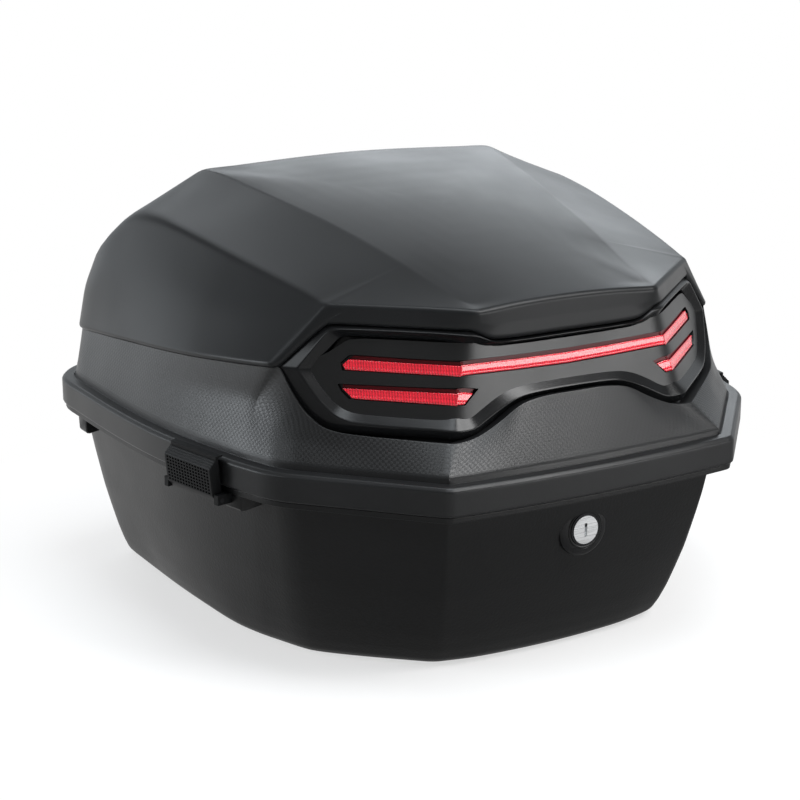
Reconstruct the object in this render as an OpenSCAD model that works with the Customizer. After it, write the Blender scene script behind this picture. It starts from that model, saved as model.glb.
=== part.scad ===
// Motorcycle top case: a drafted tub, a domed lid hinged at the front, a wrap-round
// reflector unit, a key lock at the rear and a snap clip on each side.
// +Z is up, the rear with the lock and reflectors faces -Y, the hinges are at +Y.

/* [Rim outline] */
// Overall width across the lid rim
case_w = 440; // [400:1:540]
// Reach of the rim to the rear, at its middle
rear_reach = 211; // [190:1:260]
// Reach of the rim to the hinge side
front_reach = 205; // [180:1:260]
// Half width of the rear face, to its corners
rear_half = 105; // [90:1:120]
// How far the rear face bows out past its corners
rear_bow = 12; // [4:0.5:16]
// Front-to-rear length of each rear chamfer
chamfer_l = 80; // [62:1:95]
// Radius of the bowed sides in plan
side_r = 560; // [450:5:700]
// Front-to-rear place of the widest point
widest_y = 65; // [40:1:90]
// Radius of the two front corners
front_corner_r = 54; // [45:1:75]
// Rounding of the other corners in plan
plan_r = 20; // [12:1:24]

/* [Tub] */
// Height of the tub up to the underside of its flange
tub_h = 118; // [95:1:150]
// Thickness of the tub wall
wall = 3; // [2.4:0.1:4]
// Thickness of the tub floor
floor_t = 4; // [3:0.1:6]
// Thickness of the tub flange
flange_t = 3.7; // [3:0.1:5]
// How far the flange edge stands back from the lid rim
flange_back = 2; // [1:0.1:3]
// How far the tub wall stands back from the rim under the flange
wall_back = 17; // [16:0.5:26]
// How much further in the wall is above the bottom rounding
draft_in = 22; // [12:0.5:30]
// How far the wall bulges out at half height
wall_belly = 3; // [1:0.5:5]
// Radius that the wall takes into the floor
bottom_r = 16; // [8:0.5:18]
// Height of the sealing lip above the flange
lip_h = 6.3; // [4:0.1:7]

/* [Lid] */
// Height of the lid rim band
band_h = 19; // [16:0.5:26]
// Width of the ledge on top of the band
ledge_w = 10; // [8:0.5:12]
// Height of the front edge of the top panel above the ledge
top_front_h = 152; // [130:1:180]
// Height of the brow over the reflectors above the ledge
brow_h = 97; // [90:1:110]
// Half width of the top panel at its front edge
top_half = 118; // [95:1:130]
// Distance from the front edge of the top panel to the front of the rim
top_front_back = 90; // [75:1:110]
// Crown of the top panel at the middle of its front edge
top_crown = 5; // [2:0.5:10]
// Bulge of the top panel between the brow and its front edge
top_bulge = 5; // [2:0.5:8]
// Thickness of the outer cover
cover_t = 2.6; // [2:0.1:3]
// Rounding of the edges of the lid
dome_r = 10; // [9.5:0.1:14]
// Slope of the line where cover and lid shell meet, degrees
split_slope = 5.7; // [3:0.1:8]
// Height of that line above the ledge, at the origin
split_h = 51.5; // [46:0.5:58]

/* [Reflector unit] */
// Half width of its middle face, to the corner with the chamfer
light_half = 72; // [60:1:85]
// Distance of its middle face from the rear of the rim, at its base line
light_back_in = 33; // [28:1:40]
// Height of its base line above the ledge
light_base_h = 17; // [14:0.5:22]
// Distance of the chamfer end from the side of the rim
light_end_in = 44; // [38:1:52]
// Distance of the chamfer end from the rear of the rim
light_end_back = 120; // [105:1:135]
// Backward lean of its faces, degrees
light_lean = 8.6; // [4:0.1:12]
// Depth of the bezel
bezel_d = 10; // [9:0.5:14]
// Height of the bezel on the chamfers
bezel_h = 71; // [66:0.5:76]
// Height of the bezel where it narrows in the middle, top edge
bezel_mid_top = 66; // [62:0.5:70]
// Height of the bezel where it narrows in the middle, bottom edge
bezel_mid_bottom = 23; // [20:0.5:25]
// Length of the bezel along each chamfer, to its tip
bezel_l = 129; // [120:0.5:132]
// Width of the bezel frame
bezel_w = 8.5; // [7:0.5:10]
// Height of the bottom of the upper lens
upper_lens_z = 41.5; // [39:0.5:44]
// Height of the bottom of the lower lenses
lower_lens_z = 23.5; // [21:0.5:26]
// Height of each lens
lens_h = 10; // [7:0.5:11]
// Length of the lenses along each chamfer, to their tips
lens_l = 91; // [80:0.5:94]
// Thickness of the panel that holds the lenses
panel_t = 3; // [2:0.1:4]

/* [Lock] */
// Height of the lock axis above the bottom
lock_z = 92; // [80:1:98]
// Diameter of the lock rosette
rosette_d = 37; // [30:0.5:40]
// Diameter of the lock housing
housing_d = 22; // [20:0.5:24]
// Diameter of the key cylinder
cylinder_d = 19; // [16:0.5:19.5]
// Reach of the cam from the lock axis
cam_l = 26; // [22:0.5:30]
// Width of the cam
cam_w = 12; // [8:0.5:14]

/* [Clips] */
// Front-to-rear place of the middle of each clip
clip_y = -52; // [-58:1:-40]
// Length of each clip along the side
clip_l = 50; // [40:1:60]
// How far each clip stands off the rim
clip_d = 8; // [7:0.5:10]
// Overlap of the clip nose over the lid when it is closed
clip_hook = 1.6; // [1.2:0.1:2]
// Angle at which each clip rests, released from the lid, degrees
clip_rest = 6; // [5:0.5:9]
// Diameter of the clip pins
clip_pin_d = 3; // [2.5:0.1:4]

/* [Hinges] */
// Distance of each hinge from the middle
hinge_x = 105; // [80:1:120]
// Width of each hinge
hinge_w = 60; // [45:1:70]
// Outer diameter of the hinge knuckles
knuckle_d = 12; // [10:0.5:14]
// Diameter of the hinge pins
hinge_pin_d = 5; // [4:0.1:6]
// Distance of the hinge axis in front of the rim
hinge_out = 8; // [7.5:0.5:10]

/* [Floor mount] */
// Spacing of the mounting holes across the case
mount_x = 150; // [100:1:170]
// Spacing of the mounting holes along the case
mount_y = 120; // [90:1:150]
// Diameter of the mounting holes
mount_d = 6.6; // [5.5:0.1:8.5]
// Thickness of the reinforcing plate on the floor
plate_t = 2; // [1.5:0.1:3]

/* [Fits] */
// Gap between pieces that don't touch
gap = 0.3; // [0.2:0.05:0.5]
// Radial clearance of running pins
pin_clear = 0.05; // [0.03:0.01:0.08]

/* [Hidden] */

$fn = 48;
eps = 0.01;
hull_fn = 24;

// Heights
rim_z = tub_h + flange_t + gap;
ledge_z = rim_z + band_h;
lip_top = tub_h + flange_t + lip_h;
seal_t = 3;
roof_z = lip_top + seal_t;

// Rim section: distances in from the rim edge
skirt_in = 4.5;
lip_in = 6.5;
lip_t = 3;
inner_wall_in = 12;
rim_in = 15;
seal_side = 0.5;

// Plan outline of the rim, right half from the rear middle round to the front
half_w = case_w / 2;
chamfer_y = -rear_reach + rear_bow + chamfer_l;
arc_x = half_w - front_corner_r;
arc_y = front_reach - front_corner_r;
function side_x(y) = half_w - pow(max(0, widest_y - y), 2) / (2 * side_r);
function rear_point(x) = [x, -rear_reach + rear_bow * pow(x / rear_half, 2)];
side_stations = [chamfer_y, clip_y - clip_l / 2, clip_y + clip_l / 2, (clip_y + widest_y) / 2, widest_y];
half_outline = concat(
    [for (t = [0.25 : 0.25 : 1]) rear_point(rear_half * t)],
    [for (y = side_stations) [side_x(y), y]],
    [for (a = [0 : 10 : 90]) [arc_x + front_corner_r * cos(a), arc_y + front_corner_r * sin(a)]]
);
count = len(half_outline);
outline = concat(
    [rear_point(0)],
    half_outline,
    [for (i = [count - 1 : -1 : 0]) [-half_outline[i][0], half_outline[i][1]]]
);

// Wall line of the tub: height and distance in from the rim, top first
bottom_in = wall_back + draft_in;
wall_mid_z = (tub_h + bottom_r) / 2;
wall_mid_in = wall_back + draft_in / 2 - wall_belly;
function wall_in(z) = wall_back + (wall_mid_in - wall_back) * (tub_h - z) / (tub_h - wall_mid_z);
tub_line = [
    [tub_h, wall_back],
    [wall_mid_z, wall_mid_in],
    [bottom_r, bottom_in],
    [bottom_r * 0.3, bottom_in + bottom_r * 0.32],
    [0, bottom_in + bottom_r]
];

// Reflector unit: the corner where its middle face meets a chamfer, and the chamfer angle
light_z = ledge_z + light_base_h;
light_y = -rear_reach + light_back_in;
light_turn = atan2(light_end_back - light_back_in, half_w - light_end_in - light_half);
bisect = light_turn / 2;
function corner(z) =
    let (dy = (z - light_z) * tan(light_lean))
    [light_half - tan(bisect) * dy, light_y + dy];
function on_chamfer(u, z) = corner(z) + u * [cos(light_turn), sin(light_turn)];
chamfer_len = norm([half_w - light_end_in - light_half, light_end_back - light_back_in]);

// Ball centres that round the lid: each is set in from the surface by the rounding radius
brow_z = ledge_z + brow_h;
top_z = ledge_z + top_front_h;
top_y = front_reach - top_front_back;
corner_in = dome_r / cos(bisect) / cos(light_lean);
function corner_ball(z) = concat(corner(z) - corner_in * [sin(bisect), -cos(bisect)], [z]);
function chamfer_ball(u, z) =
    concat(on_chamfer(u, z) - dome_r / cos(light_lean) * [sin(light_turn), -cos(light_turn)], [z]);
function bow(t) = 4 * t * (1 - t);
function side_ball(y, inset, z) = [side_x(y) - inset, y, z];
function front_ball(a, inset, z) =
    [arc_x + (front_corner_r - inset) * cos(a), arc_y + (front_corner_r - inset) * sin(a), z];

// Creases of the lid, from the brow (t = 0) to the front (t = 1), and the way each one faces
brow_corner = concat(corner(brow_z), [brow_z]);
top_corner = [top_half, top_y, top_z];
top_faces = [0.3, -0.15, 0.94];
function top_ball(t) =
    brow_corner + t * (top_corner - brow_corner)
    + [0, 0, top_bulge * bow(t)] - dome_r * top_faces;
side_crease_u = 92;
side_crease_end = [top_half + 54, top_y - 15, top_z - 24];
side_faces = [0.73, -0.08, 0.68];
side_crease_start = concat(on_chamfer(side_crease_u, brow_z), [brow_z]);
side_bulge = [2, 0, 2];
function side_crease_ball(t) =
    side_crease_start + t * (side_crease_end - side_crease_start)
    + bow(t) * side_bulge - dome_r * side_faces;
function panel_z(y) =
    let (t = (y - light_y) / (top_y - light_y))
    brow_z + t * (top_z - brow_z) + top_bulge * bow(t);

// Side wall of the lid: distance of its balls in from the rim, and their heights
shoulder_in = 31;
shoulder_z = ledge_z + 44;
shoulder_rise = 29;
upper_in = 43;
upper_z = ledge_z + 94;
brim_in = 70;
brim_z = ledge_z + 114;
foot_in = ledge_w + dome_r;

// Front-to-rear places of the side wall's balls, and of the middle one on the crown
corner_y = -80;
rear_side_y = -28;
mid_side_y = 45;
crown_y = -19;
dome_balls = concat(
    [for (t = [0, 0.26, 0.52, 0.78, 1]) top_ball(t)],
    [for (t = [0.25, 0.5, 0.75, 1]) side_crease_ball(t)],
    [
        chamfer_ball(side_crease_u, brow_z - 0.8 * dome_r),
        chamfer_ball(bezel_l - 8, ledge_z + 0.8 * bezel_h),
        side_ball(corner_y, shoulder_in - 2, shoulder_z - 8),
        front_ball(33, brim_in, brim_z),
        front_ball(90, brim_in, brim_z),
        front_ball(33, upper_in, upper_z),
        front_ball(90, upper_in, upper_z),
        side_ball(rear_side_y, shoulder_in, shoulder_z + 9),
        side_ball(mid_side_y, shoulder_in, shoulder_z),
        front_ball(35, shoulder_in, shoulder_z + shoulder_rise),
        front_ball(90, shoulder_in, shoulder_z + shoulder_rise)
    ]
);
crown_balls = [
    [0, top_y - 6, top_z - dome_r + top_crown],
    [0, crown_y, panel_z(crown_y) + top_crown - dome_r],
    [0, light_y + 23, brow_z + 3 - dome_r]
];
foot_points = [
    corner_ball(ledge_z),
    chamfer_ball(chamfer_len - 6, ledge_z),
    side_ball(corner_y, foot_in, ledge_z),
    side_ball(rear_side_y, foot_in, ledge_z),
    side_ball(widest_y, foot_in, ledge_z),
    front_ball(0, foot_in, ledge_z),
    front_ball(45, foot_in, ledge_z),
    front_ball(90, foot_in, ledge_z)
];

// Lock
lock_seat_y = -rear_reach + wall_in(lock_z - rosette_d / 2);
rosette_t = 5;
pad_d = rosette_d + 7;
pad_in = 9.5;
nut_t = 5;
housing_out = rosette_t + 0.3;
housing_in = pad_in + nut_t + 1;
cam_t = 3;
cam_y = lock_seat_y + housing_in + gap;
screw_head_t = 2.2;

// Striker: a bracket under the lid rim whose foot the cam covers when it is turned
striker_t = 2.5;
striker_x = 16;
striker_w = 14;
striker_y = cam_y + cam_t + 1.2;
striker_foot_z = lock_z - cam_w / 2 - 2;
striker_foot_t = 4;
striker_pad_y = -rear_reach + rim_in + 3;
striker_plate_z = roof_z - striker_t;
striker_screw_y = striker_pad_y + 12;

// Clips: the rim is straight behind each one
clip_a = [side_x(clip_y - clip_l / 2), clip_y - clip_l / 2];
clip_b = [side_x(clip_y + clip_l / 2), clip_y + clip_l / 2];
clip_turn = atan2(clip_b[0] - clip_a[0], clip_b[1] - clip_a[1]);
clip_mid = (clip_a + clip_b) / 2;
clip_pivot_x = 4;
clip_pivot_z = tub_h - 3.5;
clip_top_z = ledge_z - 0.5;
clip_notch_z = ledge_z - 6.5;
clip_notch_in = 6;
clip_bottom_z = tub_h - 6;
ear_t = 4;
clip_base_in = 14;
clip_base_h = 6.5;

// Hinges
hinge_y = front_reach + hinge_out;
hinge_z = rim_z;
leaf_knuckle_w = 23.4;
leaf_t = 3;
leaf_z = hinge_z + knuckle_d / 2 + 0.6;
base_leaf_t = 3;
base_leaf_in = wall_back - 1;

// Screws
screw_d = 3;
screw_head_d = 6;
pilot_clear = 0.1;

// Outline of the rim moved out by o, or in where o is negative
module plan(o) {
    offset(r = plan_r)
        offset(delta = o - plan_r)
            polygon(outline);
}

// Ring between two distances in from the rim
module rim_ring(out_in, in_in, z0, z1) {
    translate([0, 0, z0])
        linear_extrude(z1 - z0)
            difference() {
                plan(-out_in);
                plan(-in_in);
            }
}

// Solid inside the tub wall line, set in by t and raised by lift
module tub_form(t, lift) {
    hull()
        for (s = tub_line)
            translate([0, 0, s[0] + lift])
                linear_extrude(eps)
                    plan(-s[1] - t);
}

// Rounded body of the lid above the ledge, made of balls of radius r
module dome(r) {
    hull() {
        for (p = foot_points)
            for (s = [-1, 1])
                translate([s * p[0], p[1], p[2] - 2])
                    cylinder(r = r, h = 2, $fn = hull_fn);
        for (p = dome_balls)
            for (s = [-1, 1])
                translate([s * p[0], p[1], p[2]])
                    sphere(r, $fn = hull_fn);
        for (p = crown_balls)
            translate(p)
                sphere(r, $fn = hull_fn);
    }
}

// Flare from the ledge up to the foot of the reflector unit, set in by t
module flare(t) {
    top = [corner_ball(light_z), chamfer_ball(chamfer_len - 8, light_z)];
    hull() {
        translate([0, 0, ledge_z - 2])
            linear_extrude(2)
                plan(-ledge_w - t);
        for (p = top)
            for (s = [-1, 1])
                translate([s * p[0], p[1], light_z - 1])
                    cylinder(r = dome_r - t, h = 1, $fn = hull_fn);
    }
}

// Everything above the line where cover and lid shell meet
module above_split() {
    size = 2 * case_w;
    translate([0, 0, ledge_z + split_h])
        rotate([-split_slope, 0, 0])
            translate([-size / 2, -size / 2, 0])
                cube([size, size, size]);
}

// Frames of the reflector unit's faces: X along the face, Y up it, Z out of it
module middle_face() {
    translate([0, light_y, light_z])
        rotate([90 - light_lean, 0, 0])
            children();
}

module chamfer_face() {
    translate([light_half, light_y, light_z])
        rotate([90 - light_lean, 0, light_turn])
            children();
}

// Plan wedges that mitre the faces where they meet, with a hair of overlap so that they join
mitre_reach = 60;
mitre_lap = 0.05;
mitre_z = ledge_z - 20;
mitre_h = brow_h + 60;
mitre_dir = [sin(bisect), -cos(bisect)];
mitre_out = [light_half, light_y] + mitre_reach * mitre_dir;
mitre_in = [light_half, light_y] - mitre_reach * mitre_dir;

module middle_wedge() {
    a = mitre_out + [mitre_lap, 0];
    b = mitre_in + [mitre_lap, 0];
    translate([0, 0, mitre_z])
        linear_extrude(mitre_h)
            polygon([a, b, [-b[0], b[1]], [-a[0], a[1]]]);
}

module chamfer_wedge() {
    a = mitre_out - [mitre_lap, 0];
    b = mitre_in - [mitre_lap, 0];
    far_x = half_w + mitre_reach;
    translate([0, 0, mitre_z])
        linear_extrude(mitre_h)
            polygon([
                b, a, [far_x, a[1]],
                [far_x, b[1] + 2 * mitre_reach], [b[0], b[1] + mitre_reach]
            ]);
}

// A layer of the reflector unit from depth w0 to w1: first child on the middle, second on the chamfers
module wrap(w0, w1) {
    intersection() {
        middle_wedge();
        middle_face()
            translate([0, mitre_lap, w0])
                linear_extrude(w1 - w0)
                    children(0);
    }
    for (s = [0, 1])
        mirror([s, 0, 0])
            one_chamfer(w0, w1)
                children(1);
}

module one_chamfer(w0, w1) {
    intersection() {
        chamfer_wedge();
        chamfer_face()
            translate([0, 0, w0])
                linear_extrude(w1 - w0)
                    children();
    }
}

// Outlines on the faces run past the mitre by this much
face_over = 20;

// Outline of the bezel on the middle face: it narrows between slanted steps
bezel_edge = 1;
bezel_step = 8;

module middle_outline() {
    chin = 0.5 * light_half;
    over = light_half + face_over;
    low = bezel_edge;
    high = bezel_h - bezel_edge;
    low_end = light_half - bezel_step / 2;
    top_end = low_end - bezel_h * sin(light_lean) * tan(bisect);
    polygon([
        [-over, low], [-low_end, low], [-chin, bezel_mid_bottom],
        [chin, bezel_mid_bottom], [low_end, low], [over, low],
        [over, high], [top_end, high], [top_end - bezel_step, bezel_mid_top],
        [bezel_step - top_end, bezel_mid_top], [-top_end, high], [-over, high]
    ]);
}

// Outline of the bezel on a chamfer: a pointed end at 0.6 of its height
bezel_jaw = [43, 20];
bezel_jaw_h = 11;
bezel_temple = 30;

module chamfer_outline() {
    polygon([
        [-face_over, bezel_edge], [bezel_l - bezel_jaw[0], bezel_edge],
        [bezel_l - bezel_jaw[1], bezel_jaw_h], [bezel_l, 0.6 * bezel_h],
        [bezel_l - bezel_temple, bezel_h], [-face_over, bezel_h - bezel_edge]
    ]);
}

// Outlines of the lenses, with slanted ends
lens_start = 5;
lens_nose = 4;
lens_slant = 10;

module upper_lens_chamfer() {
    top = upper_lens_z + lens_h;
    polygon([
        [-face_over, upper_lens_z], [lens_l - lens_nose, upper_lens_z],
        [lens_l, upper_lens_z + 0.4 * lens_h], [lens_l - lens_nose, top], [-face_over, top]
    ]);
}

module upper_lens_middle() {
    translate([-light_half - face_over, upper_lens_z])
        square([2 * (light_half + face_over), lens_h]);
}

module lower_lens_outline() {
    top = lower_lens_z + lens_h;
    polygon([
        [lens_start, lower_lens_z], [lens_l - lens_slant, lower_lens_z],
        [lens_l, top], [lens_start, top]
    ]);
}

// Space that the reflector unit takes out of the lid, wider by o
light_out = 40;

module light_space(o, w0, w1) {
    wrap(w0, w1) {
        offset(delta = o)
            middle_outline();
        offset(delta = o)
            chamfer_outline();
    }
}

// Places of the reflector unit's screws on each chamfer
light_screw_u = 45;
light_screw_places = [[light_screw_u, bezel_h - bezel_w / 2], [light_screw_u, bezel_w / 2 + bezel_edge]];

module at_light_screws() {
    for (s = [0, 1])
        mirror([s, 0, 0])
            chamfer_face()
                for (p = light_screw_places)
                    translate([p[0], p[1], 0])
                        children();
}

// Local frame of the right clip: X out of the rim, Y along it, Z up from the bottom
module at_clip(side) {
    mirror([side < 0 ? 1 : 0, 0, 0])
        translate([clip_mid[0], clip_mid[1], 0])
            rotate([0, 0, -clip_turn])
                children();
}

module at_lock() {
    translate([0, lock_seat_y, lock_z])
        rotate([90, 0, 0])
            children();
}

module at_mount_holes() {
    for (x = [-1, 1])
        for (y = [-1, 1])
            translate([x * mount_x / 2, y * mount_y / 2, 0])
                children();
}

// Screw with a flat head: head on +Z of its seat, shank below it
module screw(shank_l) {
    cylinder(d = screw_d, h = shank_l);
    translate([0, 0, -screw_head_t])
        cylinder(d = screw_head_d, h = screw_head_t);
}

module pilot(depth) {
    translate([0, 0, -eps])
        cylinder(d = screw_d + 2 * pilot_clear, h = depth + eps);
}

// Places of the screws, each frame with Z along the shank
module at_hinge_base_screws() {
    for (s = [-1, 1])
        for (d = [-1, 1])
            translate([s * hinge_x + d * hinge_w / 3, front_reach - base_leaf_in + 5, tub_h - base_leaf_t])
                children();
}

module at_hinge_leaf_screws() {
    for (s = [-1, 1])
        for (d = [-1, 1])
            translate([s * hinge_x + d * hinge_w / 3, front_reach + leaf_t, (roof_z + ledge_z) / 2])
                rotate([90, 0, 0])
                    children();
}

module at_clip_screws() {
    for (s = [-1, 1])
        at_clip(s)
            for (d = [-1, 1])
                translate([-clip_base_in + 5, d * clip_l / 4, tub_h - clip_base_h])
                    children();
}

module at_striker_screws() {
    for (x = [striker_x - 5, striker_x + striker_w + 5])
        translate([x, striker_screw_y, striker_plate_z])
            children();
}

// The cover is held from inside the lid by four screws into its bosses
boss_d = 8;
cover_boss_places = [[60, 60], [50, -60]];
boss_l = 9.5;
cover_screw_l = 6;

module at_cover_bosses() {
    for (p = cover_boss_places)
        for (s = [-1, 1])
            translate([s * p[0], p[1], panel_z(p[1]) - boss_l])
                children();
}

// Rib under the flange
gusset_w = 10;
gusset_h = 9;
gusset_places = [-88, 132];

module gusset(y) {
    out = -flange_back - 1;
    in = -wall_back - 6;
    for (s = [0, 1])
        mirror([s, 0, 0])
            translate([side_x(y), y + gusset_w / 2, 0])
                rotate([90, 0, 0])
                    linear_extrude(gusset_w)
                        polygon([
                            [out, tub_h + 1], [out, tub_h - gusset_h],
                            [in, tub_h - 2 * gusset_h], [in, tub_h + 1]
                        ]);
}

module tub_shell() {
    color("#232426")
    difference() {
        union() {
            difference() {
                union() {
                    tub_form(0, 0);
                    translate([0, 0, tub_h])
                        linear_extrude(flange_t)
                            plan(-flange_back);
                    for (y = gusset_places)
                        gusset(y);
                }
                tub_form(wall, floor_t);
            }
            rim_ring(lip_in, lip_in + lip_t, tub_h + flange_t - eps, lip_top);
            at_lock()
                translate([0, 0, -pad_in])
                    cylinder(d = pad_d, h = pad_in);
        }
        at_lock()
            cylinder(d = rosette_d + 1, h = 30);
        at_lock()
            translate([0, 0, -30])
                cylinder(d = housing_d + 0.2, h = 60);
        at_mount_holes()
            translate([0, 0, -1])
                cylinder(d = mount_d, h = floor_t + 2);
        at_hinge_base_screws()
            translate([0, 0, base_leaf_t])
                pilot(flange_t + 1);
        at_clip_screws()
            translate([0, 0, clip_base_h])
                pilot(flange_t + 1);
    }
}

module floor_plate() {
    margin = 20;
    color("#8d9094")
    difference() {
        translate([-mount_x / 2 - margin, -mount_y / 2 - margin, floor_t])
            cube([mount_x + 2 * margin, mount_y + 2 * margin, plate_t]);
        at_mount_holes()
            cylinder(d = mount_d, h = floor_t + plate_t + 1);
    }
}

module lock_rosette() {
    color("#1c1d1f")
    at_lock()
        rotate_extrude()
            polygon([
                [housing_d / 2 + 0.1, 0], [rosette_d / 2, 0], [rosette_d / 2, rosette_t - 2.5],
                [rosette_d / 2 - 2.5, rosette_t - 1], [housing_d / 2 + 2, rosette_t],
                [housing_d / 2 + 0.1, rosette_t]
            ]);
}

module lock_housing() {
    color("#a9abae")
    at_lock()
        difference() {
            translate([0, 0, -housing_in])
                cylinder(d = housing_d, h = housing_in + housing_out);
            translate([0, 0, -housing_in - 1])
                cylinder(d = cylinder_d + 2 * pin_clear, h = housing_in + housing_out + 2);
        }
}

module lock_nut() {
    across_corners = housing_d + 8;
    color("#8d9094")
    at_lock()
        translate([0, 0, -pad_in - nut_t])
            difference() {
                cylinder(d = across_corners, h = nut_t, $fn = 6);
                translate([0, 0, -1])
                    cylinder(d = housing_d + 0.2, h = nut_t + 2);
            }
}

module key_cylinder() {
    face_out = housing_out + 0.6;
    slot = [2, 9, 3];
    color("#c9cacc")
    at_lock()
        difference() {
            translate([0, 0, -housing_in - gap])
                cylinder(d = cylinder_d, h = housing_in + gap + face_out);
            translate([-slot[0] / 2, -slot[1] / 2, face_out - slot[2]])
                cube([slot[0], slot[1], slot[2] + 1]);
            translate([0, 0, -housing_in - gap])
                pilot(8);
        }
}

module lock_cam() {
    color("#8d9094")
    at_lock()
        translate([0, 0, -housing_in - gap - cam_t])
            difference() {
                union() {
                    cylinder(d = cylinder_d - 1, h = cam_t);
                    translate([-cam_w / 2, 0, 0])
                        cube([cam_w, cam_l, cam_t]);
                }
                translate([0, 0, -1])
                    cylinder(d = screw_d + 2 * pilot_clear, h = cam_t + 2);
            }
}

module cam_screw() {
    color("#8d9094")
    at_lock()
        translate([0, 0, -housing_in - gap - cam_t])
            screw(cam_t + 7);
}

// Closed clip in its own frame, turned out by its rest angle about its pin
module clip(side) {
    color("#2b2c2e")
    at_clip(side)
        translate([clip_pivot_x, 0, clip_pivot_z])
            rotate([0, clip_rest, 0])
                translate([-clip_pivot_x, 0, -clip_pivot_z])
                    difference() {
                        translate([0, clip_l / 2 - gap, 0])
                            rotate([90, 0, 0])
                                linear_extrude(clip_l - 2 * gap)
                                    clip_profile();
                        translate([clip_pivot_x, clip_l, clip_pivot_z])
                            rotate([90, 0, 0])
                                cylinder(d = clip_pin_d + 2 * pin_clear, h = 2 * clip_l);
                    }
}

// Section of a closed clip: X out of the rim, Y up
module clip_profile() {
    nose_z = clip_notch_z + gap;
    polygon([
        [2.2, clip_bottom_z], [clip_d - 2.5, clip_bottom_z], [clip_d, clip_bottom_z + 3],
        [clip_d, clip_top_z - 4.5], [2.5, clip_top_z], [-clip_hook, clip_top_z],
        [-clip_hook, nose_z], [1, nose_z], [1, tub_h + 1], [2.2, tub_h - 1]
    ]);
}

module clip_base(side) {
    ear_out = clip_d - 0.5;
    color("#232426")
    at_clip(side)
        difference() {
            union() {
                translate([-clip_base_in, -clip_l / 2 - ear_t, tub_h - clip_base_h])
                    cube([clip_base_in, clip_l + 2 * ear_t, clip_base_h]);
                for (d = [-1, 1])
                    translate([0, d * (clip_l + ear_t) / 2, tub_h - clip_base_h])
                        translate([-1, -ear_t / 2, 0])
                            cube([ear_out + 1, ear_t, clip_base_h]);
            }
            translate([clip_pivot_x, clip_l, clip_pivot_z])
                rotate([90, 0, 0])
                    cylinder(d = clip_pin_d + 2 * eps, h = 2 * clip_l);
            for (d = [-1, 1])
                translate([-clip_base_in + 5, d * clip_l / 4, tub_h - clip_base_h])
                    pilot(clip_base_h + 1);
        }
}

module clip_pin(side) {
    color("#9a9da1")
    at_clip(side)
        translate([clip_pivot_x, clip_l / 2 + ear_t, clip_pivot_z])
            rotate([90, 0, 0])
                cylinder(d = clip_pin_d, h = clip_l + 2 * ear_t);
}

module clip_base_screws() {
    color("#8d9094")
    at_clip_screws()
        screw(clip_base_h + flange_t - 0.5);
}

module hinge_base(side) {
    arm_w = (hinge_w - leaf_knuckle_w) / 2 - gap;
    arm_top = tub_h + flange_t - 1;
    color("#232426")
    difference() {
        union() {
            translate([side * hinge_x - hinge_w / 2, front_reach - base_leaf_in, tub_h - base_leaf_t])
                cube([hinge_w, base_leaf_in - flange_back + eps, base_leaf_t]);
            for (d = [-1, 1])
                translate([side * hinge_x + d * (hinge_w - arm_w) / 2, 0, 0]) {
                    translate([-arm_w / 2, front_reach - flange_back, tub_h - base_leaf_t])
                        cube([arm_w, hinge_out + flange_back, arm_top - tub_h + base_leaf_t]);
                    translate([-arm_w / 2, hinge_y, hinge_z])
                        rotate([0, 90, 0])
                            cylinder(d = knuckle_d, h = arm_w);
                }
        }
        translate([side * hinge_x - hinge_w, hinge_y, hinge_z])
            rotate([0, 90, 0])
                cylinder(d = hinge_pin_d + 2 * eps, h = 2 * hinge_w);
        at_hinge_base_screws()
            pilot(base_leaf_t + 1);
    }
}

module hinge_pin(side) {
    color("#9a9da1")
    translate([side * hinge_x - hinge_w / 2, hinge_y, hinge_z])
        rotate([0, 90, 0])
            cylinder(d = hinge_pin_d, h = hinge_w);
}

module hinge_base_screws() {
    color("#8d9094")
    at_hinge_base_screws()
        screw(base_leaf_t + flange_t - 0.5);
}

module hinge_leaf(side) {
    color("#232426")
    difference() {
        union() {
            translate([side * hinge_x - hinge_w / 2, front_reach, leaf_z])
                cube([hinge_w, leaf_t, ledge_z - leaf_z]);
            translate([side * hinge_x - leaf_knuckle_w / 2, front_reach + leaf_t - eps, hinge_z])
                cube([leaf_knuckle_w, hinge_out - leaf_t, leaf_z - hinge_z + 4]);
            translate([side * hinge_x - leaf_knuckle_w / 2, hinge_y, hinge_z])
                rotate([0, 90, 0])
                    cylinder(d = knuckle_d, h = leaf_knuckle_w);
        }
        translate([side * hinge_x - hinge_w, hinge_y, hinge_z])
            rotate([0, 90, 0])
                cylinder(d = hinge_pin_d + 2 * pin_clear, h = 2 * hinge_w);
        at_hinge_leaf_screws()
            pilot(leaf_t + 1);
    }
}

module hinge_leaf_screws() {
    color("#8d9094")
    at_hinge_leaf_screws()
        screw(leaf_t + 8);
}

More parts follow.
